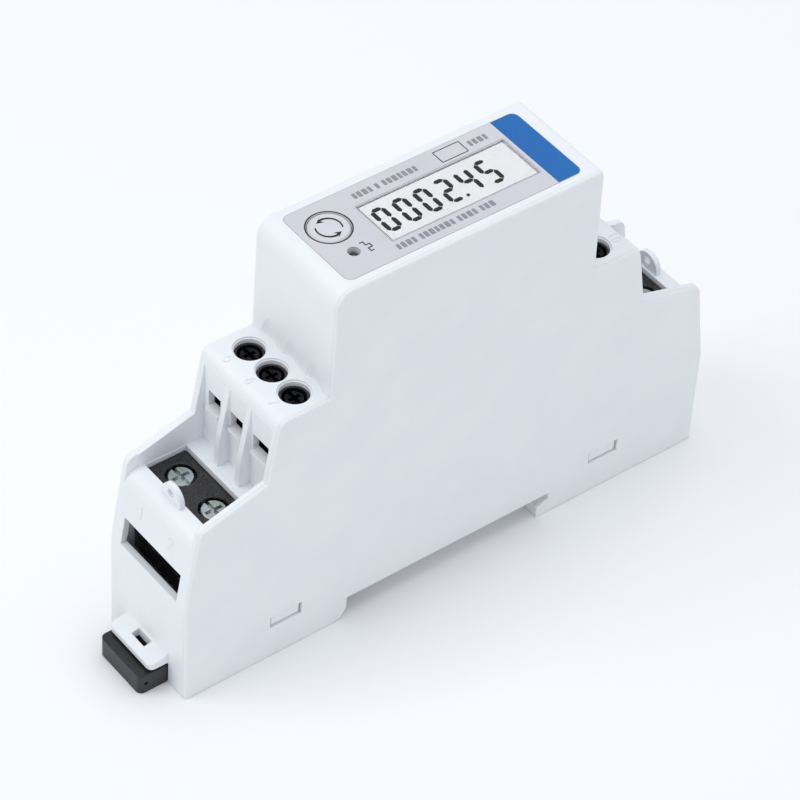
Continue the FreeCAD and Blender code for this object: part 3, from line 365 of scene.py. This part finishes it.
# reflective display glass: the pale grey-green of an unpowered segment field
DISPLAY_GLASS = MouldedPlastic("glass_display_field", "E7E8E7", "E2E3E3", roughness=0.22,
                               grain_mm=0.5,
                               grain_depth_mm=0.001, edge_mm=0.03, coat=0.3)
# steel, zinc plated with clear-blue passivation: bright, drifting from blue to straw
ZINC = PlatedMetal("steel_zinc_plated", "C6CDD0", "B4BEB2", roughness=0.26)
# steel, black passivated: the small screws deep in their chimneys
BLACK_ZINC = PlatedMetal("steel_black_passivated", "2A2A2E", "1F1E21", roughness=0.18)
# copper strip, matt tin plated
TIN = PlatedMetal("copper_tin_plated", "CFCBC2", "BDB8AC", roughness=0.36)
# brass pins, flash gold
GOLD = PlatedMetal("brass_gold_flashed", "DDB767", "CFA552", roughness=0.24)
# bare drawn copper wire
COPPER = PlatedMetal("copper_drawn", "C98B63", "B87750", roughness=0.3)
# nickel-silver crystal can, drawn and satin
CAN = PlatedMetal("nickel_silver_drawn", "CBC9C2", "BAB8B0", roughness=0.28)
# polished polycarbonate pane, clear
CLEAR = ClearPlastic("polycarbonate_polished", "FDFDFD")
# cast epoxy of the pulse lamp, tinted so deep a red that it looks black when off
LAMP_EPOXY = MouldedPlastic("epoxy_cast_lamp", "1A0807", "120605", roughness=0.12, grain_mm=0.4,
                            coat=0.6)
# FR4 under green resist
BOARD = CircuitBoard("fr4_green_resist", "12552F", "1E7244")
# inks: blue band, near-black line work, grey rating rows
BLUE_INK = PrintedInk("ink_screen_printed_blue", "0269B6", "035FA8")
BLACK_INK = PrintedInk("ink_screen_printed_black", "131316", "1F1F23")
GREY_INK = PrintedInk("ink_screen_printed_grey", "8E8F95", "9C9DA2")
# liquid crystal, switched on: a near-black warm grey
SEGMENT_DARK = PrintedInk("liquid_crystal_dark", "17110E", "211A16", roughness=0.3)

NODE_FINISH: dict[str, Finish] = {
    "main_housing": ABS, "side_cover": ABS, "din_clip": CLIP_NYLON, "front_label": FILM,
    "display_window": CLEAR, "scroll_button": BUTTON_ABS, "tact_plunger": INNER_PLASTIC,
    "tact_switch": INNER_PLASTIC, "pulse_led": LAMP_EPOXY, "lcd_panel": DISPLAY_GLASS,
    "lcd_backlight": LIGHT_GUIDE, "lcd_frame": INNER_PLASTIC, "elastomer_strips": ZEBRA,
    "display_board": BOARD, "main_board": BOARD, "header_pins": GOLD,
    "header_spacers": INNER_PLASTIC,
    "near_terminal_block": BLOCK_NYLON, "far_terminal_block": BLOCK_NYLON,
    "near_signal_block": BLOCK_NYLON, "far_signal_block": BLOCK_NYLON, "near_signal_contacts": TIN,
    "far_signal_contacts": TIN, "line_conductor": TIN, "neutral_bar": TIN,
    "current_transformer": SENSOR_CASE, "transformer_leads": COPPER, "sense_leads": COPPER,
    "film_capacitor": CAPACITOR_BOX, "electrolytic_capacitor": SLEEVE, "varistor": DIPPED_EPOXY,
    "bridge_rectifier": CHIP_EPOXY, "fusible_resistor": LACQUER, "metering_chip": CHIP_EPOXY,
    "crystal": CAN, "bus_transceiver": CHIP_EPOXY, "optocouplers": CHIP_EPOXY,
}
PREFIX_FINISH: dict[str, Finish] = {
    "terminal_screw": ZINC, "clamp_cage": ZINC, "signal_screw": BLACK_ZINC, "signal_cage": ZINC,
}


# Surfaces -------------------------------------------------------------------------------------
def facing_out(points: np.ndarray, faces: Iterable[Sequence[int]]) -> Surface:
    """Turns a closed surface right side out.

    The signed volume is a sixth of the sum, over a fan of triangles in each face, of the first
    corner dotted with the cross product of the other two. Where it is negative, every face is
    turned round.

    Args:
        points: corners, one row each.
        faces: corner numbers of each face.

    Returns:
        The points and the faces, facing outwards.
    """
    loops = [tuple(int(i) for i in face) for face in faces]
    fans = np.array([(f[0], f[i], f[i + 1]) for f in loops for i in range(1, len(f) - 1)])
    a, b, c = (points[fans[:, i]] for i in range(3))
    middle = points.mean(0)
    volume = np.einsum("ij,ij->", a - middle, np.cross(b - middle, c - middle))
    return points, loops if volume > 0 else [face[::-1] for face in loops]


def carried(path: np.ndarray, profile: np.ndarray, closed: bool = False) -> Surface:
    """Carries a profile along a flat path.

    Each path point p has a normal n, square to the mean of its two neighbouring directions and
    lengthened by one over the cosine of half the turn. A profile point (s, h) then lies at
    p + s n, at height h.

    Args:
        path: path points, one (x, y) row each, in millimetres.
        profile: closed outline of the section, one (across, height) row each.
        closed: whether the path ends where it starts.

    Returns:
        The surface, with capped ends where the path is open.
    """
    step = np.roll(path, -1, 0) - path
    step /= np.maximum(np.linalg.norm(step, axis=1, keepdims=True), 1e-9)
    before = np.roll(step, 1, 0)
    if not closed:
        before[0], step[-1] = step[0], before[-1]
    along = before + step
    along /= np.linalg.norm(along, axis=1, keepdims=True)
    stretch = 1 / np.clip((along * step).sum(1), 0.35, 1)
    across = np.stack([-along[:, 1], along[:, 0]], 1) * stretch[:, None]
    flat = path[:, None, :] + across[:, None, :] * profile[None, :, :1]
    height = np.broadcast_to(profile[None, :, 1:], (*flat.shape[:2], 1))
    points = np.concatenate([flat, height], 2).reshape(-1, 3)
    count, sides = len(path), len(profile)
    rows = np.arange(count if closed else count - 1)
    first, second = rows[:, None] * sides, ((rows + 1) % count)[:, None] * sides
    here, following = np.arange(sides)[None], (np.arange(sides)[None] + 1) % sides
    faces = np.stack([first + here, second + here, second + following, first + following], 2)
    loops = [tuple(face) for face in faces.reshape(-1, 4).tolist()]
    if not closed:
        loops.append(tuple(range(sides))[::-1])
        loops.append(tuple(range((count - 1) * sides, count * sides)))
    return facing_out(points, loops)


def plate(outline: np.ndarray, low: float, high: float) -> Surface:
    """A flat plate: an outline joined to itself between two heights.

    Args:
        outline: corners of the outline, one (x, y) row each.
        low: height of the underside.
        high: height of the top.

    Returns:
        The closed plate.
    """
    count = len(outline)
    points = np.concatenate([np.column_stack([outline, np.full(count, z)]) for z in (low, high)])
    ring = np.arange(count)
    following = (ring + 1) % count
    sides = np.stack([ring, following, following + count, ring + count], 1)
    faces = [tuple(range(count))[::-1], tuple(range(count, 2 * count))]
    return facing_out(points, faces + [tuple(side) for side in sides.tolist()])


def flat_section(width: float, base: float, thick: float) -> np.ndarray:
    """The section of printed line work: a thin rectangle."""
    half, top = width / 2, base + thick
    return np.array([[-half, base], [half, base], [half, top], [-half, top]])


def soft_section(width: float, base: float, rise: float) -> np.ndarray:
    """The section of moulded line work: half an ellipse on a flat foot sunk in the wall.

    Args:
        width: width of the foot.
        base: height of the wall.
        rise: how far the back stands out of the wall.

    Returns:
        The closed outline of the section.
    """
    angle, sunk = np.linspace(0, math.pi, 7), base - 0.02
    back = np.stack([np.cos(angle) * width / 2, base + np.sin(angle) * rise], 1)
    return np.concatenate([[[-width / 2, sunk], [width / 2, sunk]], back])


def bow(centre: tuple[float, float], radii: tuple[float, float], start: float, end: float,
        steps: int = 18) -> np.ndarray:
    """Part of an ellipse between two angles in degrees."""
    angle = np.radians(np.linspace(start, end, steps))
    return np.stack([centre[0] + radii[0] * np.cos(angle), centre[1] + radii[1] * np.sin(angle)], 1)


def as_piece(name: str, surfaces: Sequence[Surface], finish: Finish, body: str,
             place: Optional[Matrix] = None, smooth_deg: float = 35.0) -> bpy.types.Object:
    """Makes one piece from closed surfaces, gives it its finish and seats it on a body.

    Args:
        name: the piece's name.
        surfaces: closed surfaces in millimetres.
        finish: its finish.
        body: the CAD body that it moves with.
        place: where the surfaces' own frame stands in the row frame, in millimetres.
        smooth_deg: edges sharper than this stay sharp.

    Returns:
        The new object, with its place in its mesh.
    """
    points, faces, start = [], [], 0
    for corners, loops in surfaces:
        points.append(corners)
        faces += [tuple(i + start for i in face) for face in loops]
        start += len(corners)
    corners = np.concatenate(points)
    if place is not None:
        turn = np.array(place)
        corners = corners @ turn[:3, :3].T + turn[:3, 3]
    mesh = bpy.data.meshes.new(name)
    mesh.from_pydata((corners * MM).tolist(), [], faces)
    mesh.polygons.foreach_set("use_smooth", np.ones(len(mesh.polygons), dtype=bool))
    mesh.set_sharp_from_angle(angle=math.radians(smooth_deg))
    mesh.update()
    item = bpy.data.objects.new(name, mesh)
    bpy.context.scene.collection.objects.link(item)
    mesh.materials.append(finish.material())
    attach(item, body)
    log.info("%s: %d faces on %s", name, len(faces), body)
    return item


def standing_on(origin: Sequence[float], right: Sequence[float], up: Sequence[float]) -> Matrix:
    """The frame of flat artwork on a face: its right and up directions, and its normal."""
    x, y = Vector(right).normalized(), Vector(up).normalized()
    return Matrix.Translation(Vector(origin)) @ Matrix((x, y, x.cross(y))).transposed().to_4x4()


# Terminal numbers -----------------------------------------------------------------------------
def line(*spots: tuple[float, float]) -> np.ndarray:
    """Straight runs from spot to spot."""
    return np.array(spots, dtype=float)


def numeral_strokes(digit: str) -> list[np.ndarray]:
    """The strokes of a numeral in a box 0.6 wide and 1 high: straight runs and parts of ellipses.

    Args:
        digit: the numeral.

    Returns:
        One path for each stroke; a closed one ends where it starts.
    """
    strokes = {
        "0": [[bow((0.3, 0.5), (0.27, 0.5), 90, 450, 30)]],
        "1": [[line((0.1, 0.78), (0.32, 1.0), (0.32, 0.0))]],
        "2": [[bow((0.3, 0.72), (0.26, 0.28), 165, -35), line((0.04, 0.0), (0.57, 0.0))]],
        "3": [[bow((0.27, 0.74), (0.25, 0.26), 150, -90)],
              [bow((0.27, 0.25), (0.29, 0.25), 90, -150)]],
        "4": [[line((0.44, 0.0), (0.44, 1.0), (0.03, 0.3), (0.6, 0.3))]],
        "5": [[line((0.53, 1.0), (0.13, 1.0), (0.07, 0.54)),
               bow((0.29, 0.33), (0.28, 0.33), 130, -150)]],
        "6": [[bow((0.58, 0.4), (0.55, 0.6), 95, 180), bow((0.3, 0.3), (0.27, 0.3), 180, 530, 26)]],
        "7": [[line((0.03, 1.0), (0.57, 1.0), (0.22, 0.0))]],
        "8": [[bow((0.3, 0.76), (0.22, 0.24), 90, 450, 24)],
              [bow((0.3, 0.27), (0.27, 0.27), 90, 450, 26)]],
        "9": [[bow((0.02, 0.6), (0.55, 0.6), -85, 0), bow((0.3, 0.7), (0.27, 0.3), 0, 350, 26)]],
    }
    return [np.concatenate(parts) for parts in strokes[digit]]


class End(Enum):
    """An end of the meter, as its sign along Y: the sliding clip is at the near one."""

    NEAR = -1
    FAR = 1


@dataclass
class TerminalNumber:
    """One raised number beside a terminal."""

    text: str
    spot: tuple[float, float, float]
    right: tuple[float, float, float]
    up: tuple[float, float, float]
    tall: float = 1.55
    stroke: float = 0.2
    rise: float = 0.09
    advance: float = 0.78

    def build(self) -> bpy.types.Object:
        """Builds the number as moulded line work, centred on its spot.

        Returns:
            The number's piece.
        """
        section = soft_section(self.stroke, 0.0, self.rise)
        advance = self.advance * self.tall
        left = -(advance * (len(self.text) - 1) + NUMERAL_WIDE * self.tall) / 2
        surfaces = []
        for index, digit in enumerate(self.text):
            for stroke in numeral_strokes(digit):
                ring = np.allclose(stroke[0], stroke[-1], atol=1e-6)
                path = stroke[:-1] if ring else stroke
                path = path * self.tall + np.array([left + index * advance, -self.tall / 2])
                surfaces.append(carried(path, section, closed=ring))
        return as_piece("terminal_number_" + self.text, surfaces, ABS, BODY,
                        standing_on(self.spot, self.right, self.up))


@dataclass
class Mouldings:
    """The white tub and cover with the numbers raised on them."""

    end_lean: tuple[float, float] = (2.1, 13.75)
    knee: tuple[float, float] = (42.9, 30.6 + FEET)
    end_number_drop: float = 5.75
    end_number_x: float = 3.35
    end_number_tall: float = 1.9
    shoulder_z: float = 44.0 + FEET
    shoulder_number_y: float = 28.85
    shoulder_number_tall: float = 1.35
    shoulder_stroke: float = 0.17
    pitch: float = 5.0

    def build_end_numbers(self, end: End, names: str) -> None:
        """Two numbers on an end's leaning face, read from outside with the front up.

        Args:
            end: the end.
            names: the two numerals, from low X to high X.
        """
        run, rise = self.end_lean
        slope, sign = math.hypot(run, rise), end.value
        y = sign * (self.knee[0] + self.end_number_drop * run / slope)
        z = self.knee[1] - self.end_number_drop * rise / slope
        for name, x in zip(names, (-self.end_number_x, self.end_number_x)):
            TerminalNumber(name, (x, y, z), (float(-sign), 0.0, 0.0),
                           (0.0, -sign * run / slope, rise / slope), self.end_number_tall).build()

    def build_shoulder_numbers(self, end: End, names: Sequence[str]) -> None:
        """Three numbers on an end's flat shoulder, one for each screwdriver hole.

        Args:
            end: the end.
            names: the numbers, from low X to high X.
        """
        for index, name in enumerate(names):
            spot = ((index - 1) * self.pitch, end.value * self.shoulder_number_y, self.shoulder_z)
            TerminalNumber(name, spot, (1, 0, 0), (0, 1, 0), self.shoulder_number_tall,
                           self.shoulder_stroke).build()

    def build(self) -> None:
        """Adds the ten terminal numbers."""
        self.build_end_numbers(End.NEAR, "12")
        self.build_end_numbers(End.FAR, "34")
        self.build_shoulder_numbers(End.NEAR, ("5", "6", "7"))
        self.build_shoulder_numbers(End.FAR, ("8", "9", "10"))


# Front label ----------------------------------------------------------------------------------
def rounded_outline(x: tuple[float, float], y: tuple[float, float], radii: Sequence[float],
                    steps: int = 8) -> np.ndarray:
    """A rectangle whose corners are quarter circles.

    Args:
        x: low and high X.
        y: low and high Y.
        radii: the four corners' radii, from the low corner anticlockwise; 0 is a sharp corner.
        steps: points in each quarter circle.

    Returns:
        The outline, one (x, y) row for each point.
    """
    corners = ((x[0], y[0], 180), (x[1], y[0], 270), (x[1], y[1], 0), (x[0], y[1], 90))
    pieces = []
    for (cx, cy, start), radius in zip(corners, radii):
        if radius <= 0:
            pieces.append(np.array([[cx, cy]]))
            continue
        inward_x = 1 if cx == x[0] else -1
        inward_y = 1 if cy == y[0] else -1
        middle = (cx + inward_x * radius, cy + inward_y * radius)
        pieces.append(bow(middle, (radius, radius), start, start + 90, steps))
    return np.concatenate(pieces)


@dataclass
class RatingPlate:
    """The printed film on the front: band, button symbol, pulse mark and rows of print."""

    film_top: float = FRONT + 0.02
    ink: float = 0.012
    side: tuple[float, float] = (-7.42, 7.32)
    band: tuple[float, float] = (15.4, 19.5)
    corner: float = 1.1
    window: tuple[tuple[float, float], tuple[float, float]] = ((-3.75, 4.25), (-9.8, 14.7))
    window_edge: float = 0.14
    window_round: float = 0.2
    window_line: float = 0.05
    button: tuple[float, float] = (-2.45, -15.1)
    button_top: float = FRONT + 0.004
    button_ink: float = 0.015
    ring_r: float = 3.14
    ring_line: float = 0.2
    arrow_r: float = 1.8
    arrow_starts: tuple[float, float] = (60.0, 240.0)
    arrow_sweep: float = 128.0
    arrow_line: tuple[float, float] = (0.2, 0.36)
    head_half: float = 0.62
    head_sweep: tuple[float, float] = (114.0, 152.0)
    wave: tuple[tuple[float, float], ...] = (
        (2.25, -13.75), (2.25, -13.2), (2.95, -13.2), (2.95, -12.6),
        (3.6, -12.6), (3.6, -13.25), (4.25, -13.25), (4.25, -12.75))
    wave_line: float = 0.17
    # each row of small print: its middle's X, where it starts along Y, and its words' lengths
    rows: tuple[tuple[float, float, tuple[int, ...]], ...] = (
        (-5.55, -8.9, (4, 1, 7)), (-5.55, 10.3, (4,)), (5.65, -10.1, (4, 7, 4, 3)))
    letter_half: float = 0.55
    letter_wide: float = 0.5
    letter_spread: float = 0.2
    letter_gap: float = 0.24
    word_gap: float = 0.45
    letter_round: float = 0.12
    frame_x: tuple[float, float] = (-6.75, -4.45)
    frame_y: tuple[float, float] = (5.15, 9.45)
    frame_round: float = 0.1
    frame_line: float = 0.14

    def line_work(self, path: np.ndarray, width: float, closed: bool = False) -> Surface:
        """Printed line work along a path on the film."""
        return carried(path, flat_section(width, self.film_top, self.ink), closed)

    def printed(self, name: str, surfaces: Sequence[Surface], ink: Finish) -> None:
        """Makes print on the film a piece."""
        as_piece(name, surfaces, ink, BODY)

    def build_band(self) -> None:
        """The plain blue band across the far end."""
        outline = rounded_outline(self.side, self.band, (0, 0, self.corner, self.corner))
        band = plate(outline, self.film_top, self.film_top + self.ink)
        self.printed("label_blue_band", [band], BLUE_INK)

    def build_border(self) -> None:
        """A fine grey line round the display."""
        (x0, x1), (y0, y1) = self.window
        edge = self.window_edge
        outline = rounded_outline((x0 - edge, x1 + edge), (y0 - edge, y1 + edge),
                                  (self.window_round,) * 4, 5)
        border = self.line_work(outline, self.window_line, closed=True)
        self.printed("label_window_line", [border], GREY_INK)

    def arrow(self, start: float) -> np.ndarray:
        """A curved arrow round the button's middle: a shaft that widens, and a three-point head.

        The shaft's two edges lie at the arrow's radius, half a width out and in.

        Args:
            start: the angle in degrees where the shaft starts.

        Returns:
            The arrow's outline.
        """
        centre = np.array(self.button)
        sweep = np.radians(np.linspace(start, start + self.arrow_sweep, 26))
        width = np.linspace(*self.arrow_line, 26)
        ring = np.stack([np.cos(sweep), np.sin(sweep)], 1)
        outer, inner = (centre + (self.arrow_r + side * width / 2)[:, None] * ring
                        for side in (1, -1))
        back, tip = (math.radians(start + turn) for turn in self.head_sweep)
        head = [centre + r * np.array([math.cos(a), math.sin(a)]) for r, a in (
            (self.arrow_r + self.head_half, back), (self.arrow_r, tip),
            (self.arrow_r - self.head_half, back))]
        return np.concatenate([outer, head, inner[::-1]])

    def build_button_symbol(self) -> None:
        """Two arrows that chase each other round in the cap's dish, and a ring on the film."""
        marks = [plate(self.arrow(start), self.button_top, self.button_top + self.button_ink)
                 for start in self.arrow_starts]
        as_piece("button_arrows", marks, BLACK_INK, "scroll_button")
        circle = bow(self.button, (self.ring_r, self.ring_r), 0, 360, 73)[:-1]
        ring = self.line_work(circle, self.ring_line, closed=True)
        self.printed("button_ring", [ring], BLACK_INK)

    def build_pulse_mark(self) -> None:
        """The square-wave mark beside the lamp."""
        wave = self.line_work(np.array(self.wave), self.wave_line)
        self.printed("label_pulse_mark", [wave], BLACK_INK)

    def build_print_rows(self) -> None:
        """Blank marks in three widths where a rating plate has small print, and an empty frame."""
        surfaces = []
        for x, y, words in self.rows:
            for letters in words:
                for index in range(letters):
                    wide = self.letter_wide + self.letter_spread * (index % 3) / 2
                    outline = rounded_outline((x - self.letter_half, x + self.letter_half),
                                              (y, y + wide), (self.letter_round,) * 4, 4)
                    surfaces.append(plate(outline, self.film_top, self.film_top + self.ink))
                    y += wide + self.letter_gap
                y += self.word_gap
        self.printed("label_print_rows", surfaces, GREY_INK)
        outline = rounded_outline(self.frame_x, self.frame_y, (self.frame_round,) * 4, 4)
        frame_line = self.line_work(outline, self.frame_line, closed=True)
        self.printed("label_empty_frame", [frame_line], BLACK_INK)

    def build(self) -> None:
        """Builds all the print."""
        self.build_band()
        self.build_border()
        self.build_button_symbol()
        self.build_pulse_mark()
        self.build_print_rows()


# Display --------------------------------------------------------------------------------------
@dataclass
class SegmentDisplay:
    """The digits on the display: seven segments each, read along +Y with their tops at -X."""

    reading: str = "0002.45"
    start_y: float = -8.95
    pitch: float = 3.4
    wide: float = 2.35
    top_x: float = -2.3
    bottom_x: float = 2.75
    stroke: float = 0.68
    gap: float = 0.06
    point_r: float = 0.27
    point_shift: float = 0.05
    base: float = 61.58 + FEET
    heights: tuple[float, float] = (0.005, 0.02)
    lit: dict[str, str] = field(default_factory=lambda: {
        "0": "abcdef", "2": "abged", "4": "fgbc", "5": "afgcd"})

    def bar(self, start: np.ndarray, end: np.ndarray) -> Surface:
        """One segment: a six-sided bar whose ends are 45-degree points, a gap short of its corners.

        Args:
            start: the corner of the digit that it starts at.
            end: the corner that it ends at.

        Returns:
            The bar.
        """
        along = (end - start) / np.linalg.norm(end - start)
        across = np.array([-along[1], along[0]])
        half = self.stroke / 2
        a, b = start + along * self.gap, end - along * self.gap
        outline = np.array([
            a, a + along * half + across * half, b - along * half + across * half,
            b, b - along * half - across * half, a + along * half - across * half])
        return self.flat(outline)

    def flat(self, outline: np.ndarray) -> Surface:
        """A segment of liquid crystal just over the display's glass."""
        low, high = self.heights
        return plate(outline, self.base + low, self.base + high)

    def build(self) -> None:
        """Builds the lit segments of every digit and the decimal point."""
        inset = self.stroke / 2
        top, bottom = self.top_x + inset, self.bottom_x - inset
        middle = (top + bottom) / 2
        surfaces = []
        place = 0
        for mark in self.reading:
            left = self.start_y + place * self.pitch + inset
            right = left + self.wide - self.stroke
            if mark == ".":
                between = self.start_y + place * self.pitch - (self.pitch - self.wide) / 2
                spot = (bottom, between - self.point_shift)
                surfaces.append(self.flat(bow(spot, (self.point_r, self.point_r), 0, 345, 24)))
                continue
            corner = {"tl": (top, left), "tr": (top, right),
                      "ml": (middle, left), "mr": (middle, right),
                      "bl": (bottom, left), "br": (bottom, right)}
            ends = {"a": ("tl", "tr"), "b": ("tr", "mr"), "c": ("mr", "br"), "d": ("bl", "br"),
                    "e": ("ml", "bl"), "f": ("tl", "ml"), "g": ("ml", "mr")}
            for segment in self.lit[mark]:
                first, last = (np.array(corner[c]) for c in ends[segment])
                surfaces.append(self.bar(first, last))
            place += 1
        as_piece("display_digits", surfaces, SEGMENT_DARK, BODY)


# Studio ---------------------------------------------------------------------------------------
@dataclass(frozen=True)
class SoftBox:
    """A square area light: its place and side in metres, its power in watts, and its shade."""

    name: str
    spot: tuple[float, float, float]
    side: float
    power: float
    shade: str

    def build(self, target: tuple[float, float, float]) -> None:
        """Adds the light, aimed at a point in metres.

        Args:
            target: the point.
        """
        data = bpy.data.lights.new(self.name, "AREA")
        data.size = self.side
        data.energy = self.power
        data.color = linear(self.shade)[:3]
        lamp = bpy.data.objects.new(self.name, data)
        bpy.context.scene.collection.objects.link(lamp)
        lamp.location = self.spot
        aim = Vector(target) - Vector(self.spot)
        lamp.rotation_euler = aim.to_track_quat("-Z", "Y").to_euler()


@dataclass
class Studio:
    """A pale floor, soft light from above and the left, and the camera."""

    camera_spot: tuple[float, float, float] = (290.39, -246.68, 385.51)
    azimuth: float = 50.02
    elevation: float = 43.752
    roll: float = 3.9
    lens: float = 172.37
    sensor: float = 36.0
    clip: tuple[float, float] = (0.01, 20.0)
    # just under the feet, so that the two faces don't lie in one plane
    floor_z: float = FEET - 0.05
    floor_half: float = 3.0
    floor_shade: str = "FCFCFD"
    glow_shade: str = "F3F6FB"
    glow: float = 0.71
    target: tuple[float, float, float] = (0.0, 0.0, 0.02)
    lights: tuple[SoftBox, ...] = (
        SoftBox("key_soft_box", (-0.25, -0.55, 0.75), 0.5, 1.8, "FFFFFF"),
        SoftBox("top_soft_box", (0.0, 0.1, 0.9), 0.6, 1.9, "F8FBFF"))

    def build_camera(self) -> None:
        """Aims the camera: forward from azimuth and elevation, then a small roll about it."""
        az, el, roll = (math.radians(a) for a in (self.azimuth, self.elevation, self.roll))
        forward = Vector((-math.sin(az) * math.cos(el), math.cos(az) * math.cos(el), -math.sin(el)))
        level = Vector((math.cos(az), math.sin(az), 0))
        rise = level.cross(forward)
        right = level * math.cos(roll) + rise * math.sin(roll)
        up = rise * math.cos(roll) - level * math.sin(roll)
        data = bpy.data.cameras.new("camera")
        data.lens = self.lens
        data.sensor_width = self.sensor
        data.clip_start, data.clip_end = self.clip
        camera = bpy.data.objects.new("camera", data)
        bpy.context.scene.collection.objects.link(camera)
        camera.matrix_world = Matrix.Translation(Vector(self.camera_spot) * MM) @ Matrix(
            (right, up, -forward)).transposed().to_4x4()
        bpy.context.scene.camera = camera

    def build_floor(self) -> None:
        """A wide matt floor under the feet."""
        mesh = bpy.data.meshes.new("floor")
        half, level = self.floor_half, self.floor_z * MM
        corners = [(-half, -half), (half, -half), (half, half), (-half, half)]
        mesh.from_pydata([(x, y, level) for x, y in corners], [], [(0, 1, 2, 3)])
        floor = bpy.data.objects.new("floor", mesh)
        bpy.context.scene.collection.objects.link(floor)
        made = bpy.data.materials.new("floor_matt_white")
        made.use_nodes = True
        tree = made.node_tree
        tree.nodes.clear()
        shader = add_node(tree, "ShaderNodeBsdfPrincipled", inputs={
            "Base Color": linear(self.floor_shade), "Roughness": 0.9, "Specular IOR Level": 0.1})
        add_node(tree, "ShaderNodeOutputMaterial", inputs={"Surface": shader.outputs[0]})
        mesh.materials.append(made)

    def build(self) -> None:
        """Sets up floor, light, surroundings and camera."""
        scene = bpy.context.scene
        scene.view_settings.view_transform = "Standard"
        world = bpy.data.worlds.new("surroundings")
        world.use_nodes = True
        world.node_tree.nodes.clear()
        glow = add_node(world.node_tree, "ShaderNodeBackground", inputs={
            "Color": linear(self.glow_shade), "Strength": self.glow})
        add_node(world.node_tree, "ShaderNodeOutputWorld", inputs={"Surface": glow.outputs[0]})
        scene.world = world
        self.build_floor()
        for light in self.lights:
            light.build(self.target)
        self.build_camera()


def dress_frame() -> None:
    """Gives every CAD node its finish."""
    for name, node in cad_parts.items():
        finish = NODE_FINISH.get(name) or PREFIX_FINISH[name.rstrip("0123456789").rstrip("_")]
        node.data.materials.clear()
        node.data.materials.append(finish.material())
        log.info("%s: %s", name, finish.name)


def main() -> None:
    """Dresses the frame, adds the numbers, print and digits, and sets up the studio."""
    logging.basicConfig(level=logging.INFO, format="%(message)s")
    dress_frame()
    Mouldings().build()
    RatingPlate().build()
    SegmentDisplay().build()
    Studio().build()


if __name__ == "__main__":
    main()
